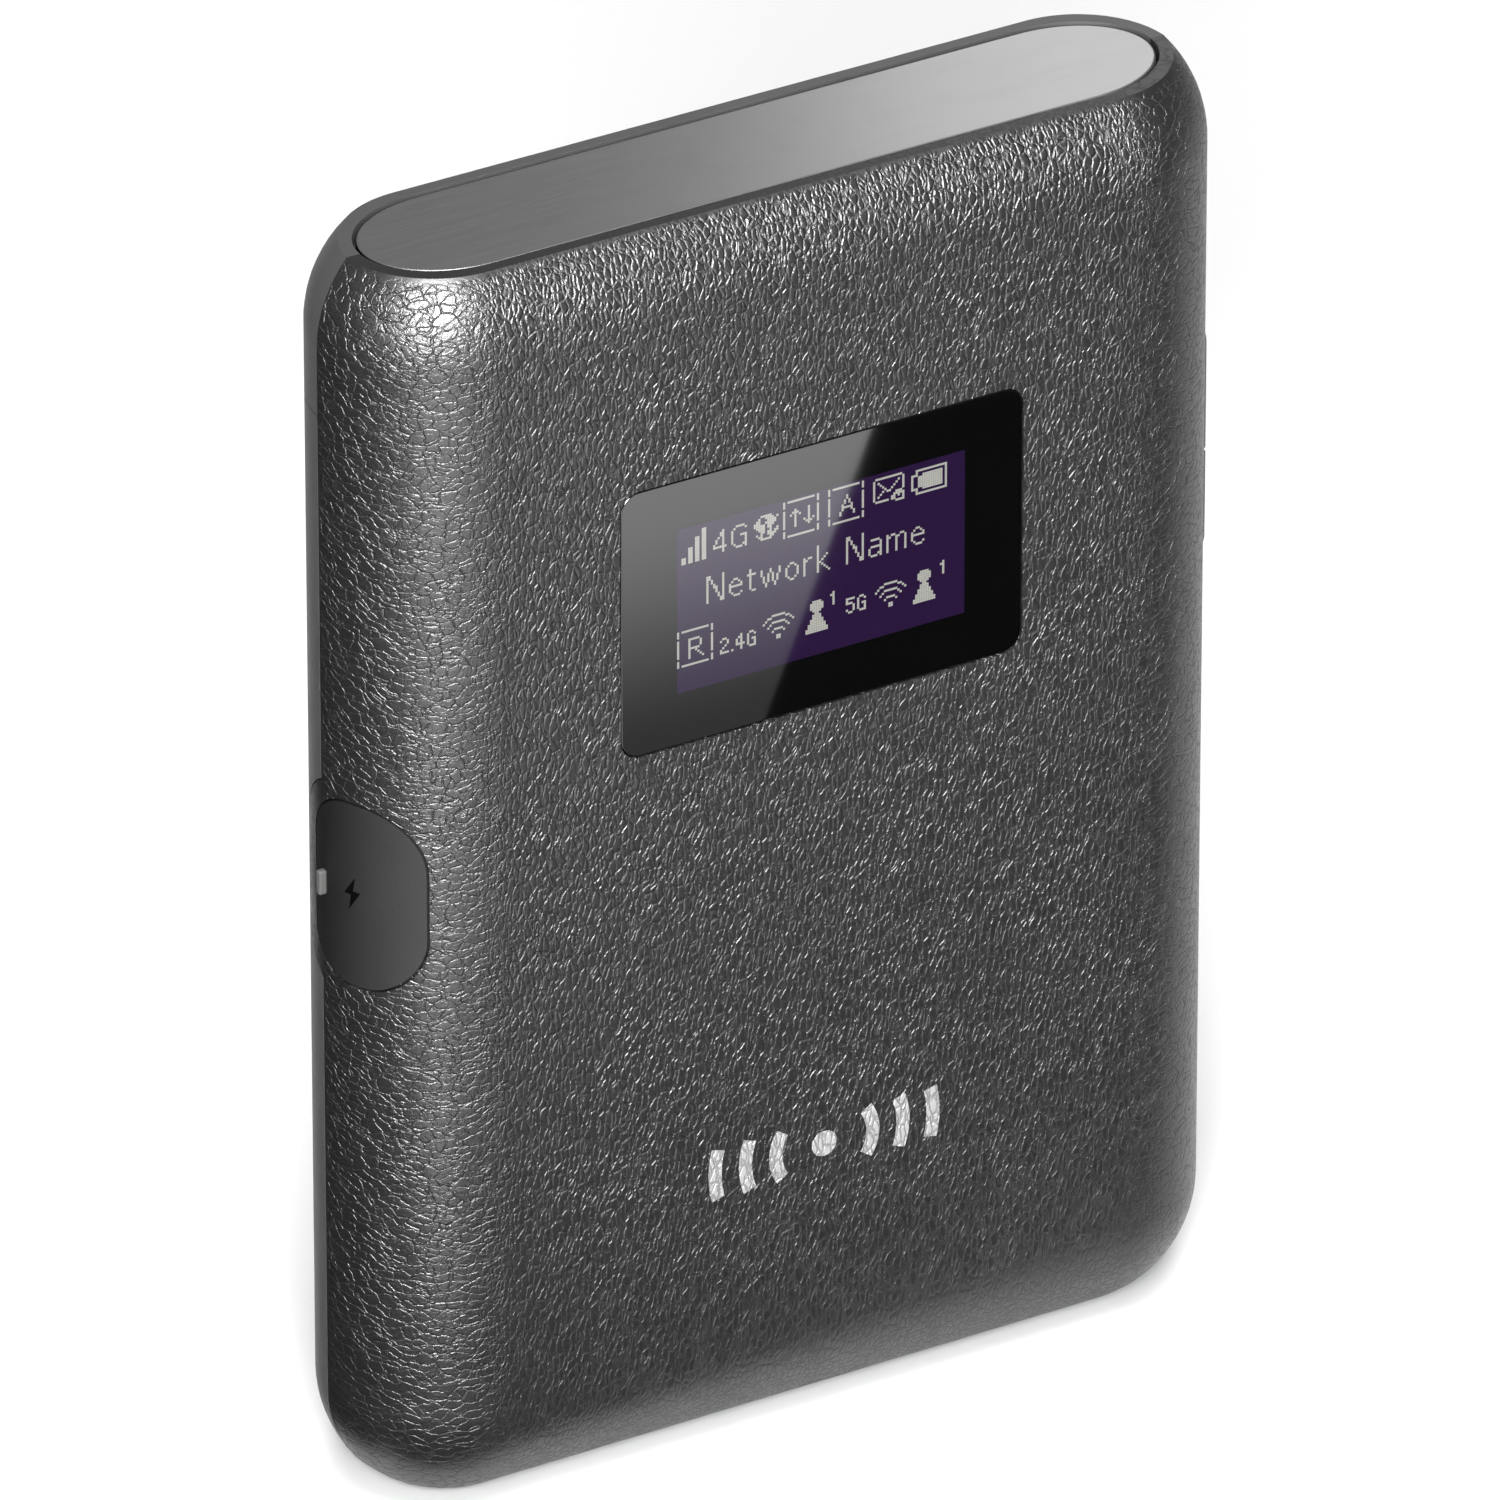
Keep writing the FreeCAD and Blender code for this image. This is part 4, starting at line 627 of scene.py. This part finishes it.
corners = [(0.25, 1.25), (-0.62, -0.1), (-0.08, -0.1), (-0.25, -1.25), (0.62, 0.2), (0.08, 0.2)]
shape = bmesh.new()
bolt = [shape.verts.new((0, SIGN_Y - c[0], SIGN_Z + c[1])) for c in corners]
shape.faces.new(bolt)
for k in range(-6, 7):
    bmesh.ops.bisect_plane(shape, geom=[*shape.verts, *shape.edges, *shape.faces],
                           plane_co=(0, SIGN_Y + STRIP * k, 0), plane_no=(0, 1, 0))
for vert in shape.verts:
    vert.co = Vector((-side_x(vert.co.y) - SIGN_PROUD, vert.co.y, vert.co.z)) * MM
# Painted shade: a near-black skin stands for the shade inside the sunk sign.
sign_shade_finish = moulded("sign_painted_shade", (0.002, 0.002, 0.002), 0.9, Specular_IOR_Level=0.0)
make_piece("flap_sign", shape, sign_shade_finish, "flap")

# %% [markdown]
# The SIM card shows its gilt contact field when the back is off: six pads parted by thin
# gaps. The battery has three pads at its upper end, one over each blade of the case.
# Gilding is only a few thousandths thick, so each pad is one face a hair above its piece.

# %% Gilt pads
PAD_PROUD = 0.004
BLADE_PITCH = 2.6
BATTERY_PAD_WIDE, BATTERY_PAD_HIGH, BATTERY_PAD_Y = 1.6, 2.2, 2.6
sim_low, sim_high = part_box("sim_card")
sim_mid = (sim_low + sim_high) * 500
shape = bmesh.new()
for i in range(3):
    for j in range(2):
        tile(shape, sim_mid.x - 5.6 + 3.0 * i, sim_mid.z + 3.9 - 4.0 * j, 2.7, 3.7,
             sim_high.y + PAD_PROUD * MM)
make_piece("sim_pads", shape, gold_finish, "sim")

blade_low, blade_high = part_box("contact_blades")
shape = bmesh.new()
for i in range(3):
    middle = (blade_low.x + blade_high.x) * 500 + BLADE_PITCH * (i - 1)
    tile(shape, middle - BATTERY_PAD_WIDE / 2, 0.0, BATTERY_PAD_WIDE, BATTERY_PAD_HIGH, 0.0)
bmesh.ops.transform(shape, matrix=UPRIGHT, verts=shape.verts)
bmesh.ops.translate(shape, vec=(0, BATTERY_PAD_Y * MM, cell_high.z + PAD_PROUD * MM), verts=shape.verts)
make_piece("battery_pads", shape, gold_finish, "battery")

# %% [markdown]
# The table is a wide pale sheet. A dark object needs large soft sources: one near the
# camera and a broad fill above give the light on the table and the body. Two more lamps
# light reflections only, so that a highlight can be shaped without paling everything
# else: one puts the gleam on the upper left corner, and a small one close above the right
# end is what the satin plate mirrors. The room itself is pale, so shadows stay open.

# %% Table, room and lamps
TABLE_SIZE = 4.0
shape = bmesh.new()
bmesh.ops.create_grid(shape, x_segments=1, y_segments=1, size=TABLE_SIZE)
table_finish = Finish("table_pale", (0.86, 0.86, 0.86), 0.9)
table_finish.tint(table_finish.noise(0.01, 2), 0.99, 1.01)
table = make_object("table", shape, table_finish)

world = bpy.data.worlds.new("studio")
bpy.context.scene.world = world
world.use_nodes = True
world.node_tree.nodes["Background"].inputs["Color"].default_value = (1, 1, 1, 1)
world.node_tree.nodes["Background"].inputs["Strength"].default_value = 0.25


def lamp(name, place, aim, size, power, height=None, gleam=False):
    """Soft rectangular lamp at a place in millimetres, facing aim; a gleam lights reflections only."""
    data = bpy.data.lights.new(name, "AREA")
    data.shape = "RECTANGLE"
    data.size = size * MM
    data.size_y = (height or size) * MM
    data.energy = power
    made = bpy.data.objects.new(name, data)
    bpy.context.scene.collection.objects.link(made)
    made.location = Vector(place) * MM
    made.rotation_euler = (Vector(aim) - Vector(place)).to_track_quat("-Z", "Y").to_euler()
    made.visible_camera = False
    made.visible_diffuse = not gleam


lamp("near_camera", (-330, -520, 350), (0, 0, 60), 200, 7.0, 240)
lamp("corner_gleam", (-330, -560, 400), (0, 0, 60), 280, 46.0, 300, gleam=True)
lamp("plate_gleam", (98, 108, 168), (29, 0, 93), 52, 0.018, gleam=True)
lamp("fill_above", (-100, -250, 700), (0, 0, 50), 400, 6.2)

# %% [markdown]
# The camera is far off with a very long lens, so upright lines stay almost parallel. It
# stands thirty degrees to the left and looks down by thirty degrees. It is placed by a
# point a little under the object's middle and aimed a touch above and to the left of it,
# which sets the object in the frame.

# %% Camera
LENS, SENSOR, FRAME_SIDE = 540.0, 36.0, 1500.0
AIM_LEFT, AIM_UP = 8.7, 109.18
DISTANCE, LOOK_HEIGHT = 1480.26, 39.52
forward = Vector((0.4330127, 0.75, -0.5))
right = Vector((0.8660254, -0.5, 0.0))
up = right.cross(forward)
aim = (forward * (FRAME_SIDE * LENS / SENSOR) - right * AIM_LEFT + up * AIM_UP).normalized()
data = bpy.data.cameras.new("camera")
data.lens = LENS
data.sensor_width = SENSOR
data.clip_start = 0.01
data.clip_end = 20
camera = bpy.data.objects.new("camera", data)
bpy.context.scene.collection.objects.link(camera)
across = aim.cross(up).normalized()
above = across.cross(aim)
spot = Vector((0, 0, LOOK_HEIGHT)) * MM - forward * DISTANCE * MM
camera.matrix_world = Matrix.Translation(spot) @ Matrix((across, above, -aim)).transposed().to_4x4()
bpy.context.scene.camera = camera
bpy.context.scene.view_settings.view_transform = "Standard"
print("camera at", spot)

# %% [markdown]
# The lens is a mirror, so what it shows is chosen: a lit card and a dark card lie on the
# table where the camera's line bounces off the lens. Their shared edge is the crisp
# slanting edge in the glass. The lower roundings of the case mirror the table too, and
# a pale table would wash them out, so dark cards lie in front and at the left of it, with
# one bright band between them for the left rounding. Only reflections see these cards.


# %% Cards to be mirrored
CARD_Z = 0.002
LENS_BOTTOM, LENS_TOP = 53.5, 77.0
LENS_LEFT, LENS_RIGHT = -16.0, 16.0
EDGE_BOTTOM, EDGE_TOP = -5.1, 4.6
GLOW_BOTTOM, GLOW_TOP = 55.3, 74.9
mirror_y = window_low.y
beyond = Vector((spot.x, 2 * mirror_y - spot.y, spot.z))


def bounce(x, z):
    """Where the camera's line bounces from a point of the lens (in millimetres) to the cards."""
    touch = Vector((x * MM, mirror_y, z * MM))
    line = touch - beyond
    return touch + line * ((CARD_Z - touch.z) / line.z)


def card(name, points, glow_low, glow_high):
    """Flat card that only mirrors can see, its light running from one level to another along Y."""
    shape = bmesh.new()
    shape.faces.new([shape.verts.new(p) for p in points])
    bmesh.ops.recalc_face_normals(shape, faces=shape.faces)
    finish = Finish(name, (0, 0, 0), 1.0, Emission_Color=(1, 1, 1, 1), Specular_IOR_Level=0.0)
    near, far = bounce(0, GLOW_BOTTOM).y * 1000, bounce(0, GLOW_TOP).y * 1000
    level = finish.ease(finish.axis("Y"), far, near, glow_high, glow_low)
    emission = finish.node("ShaderNodeEmission", None, {"Strength": level})
    finish.tree.links.new(emission.socket, finish.tree.nodes["Material Output"].inputs["Surface"])
    made = make_object(name, shape, finish)
    for kind in ("visible_camera", "visible_diffuse", "visible_shadow", "visible_transmission"):
        setattr(made, kind, False)
    print(name, [tuple(round(c, 3) for c in v.co) for v in made.data.vertices])


lower, upper = (EDGE_BOTTOM, LENS_BOTTOM), (EDGE_TOP, LENS_TOP)
lit_part = ((LENS_LEFT, LENS_BOTTOM), lower, upper, (LENS_LEFT, LENS_TOP))
dark_part = (lower, (LENS_RIGHT, LENS_BOTTOM), (LENS_RIGHT, LENS_TOP), upper)
card("card_lit", [bounce(*p) for p in lit_part], 0.6, 3.9)
card("card_dark", [bounce(*p) for p in dark_part], 0.0, 0.0)
for name, height, glow, outline in (
        ("card_dark_front", 1.0, 0.0, [(-24, -9), (346, -650), (1200, -650), (1200, -280), (60, -20)]),
        ("card_band_left", 1.5, 5.5, [(-36, -24), (-120, -110), (-300, -340), (-160, -480), (-60, -130)]),
        ("card_dark_left", 1.0, 0.0, [(-24, -9), (5, -66), (-80, -90), (-700, -390), (-700, 700),
                                      (-60, 700), (-33, -3)])):
    card(name, [Vector((*p, height)) * MM for p in outline], glow, glow)
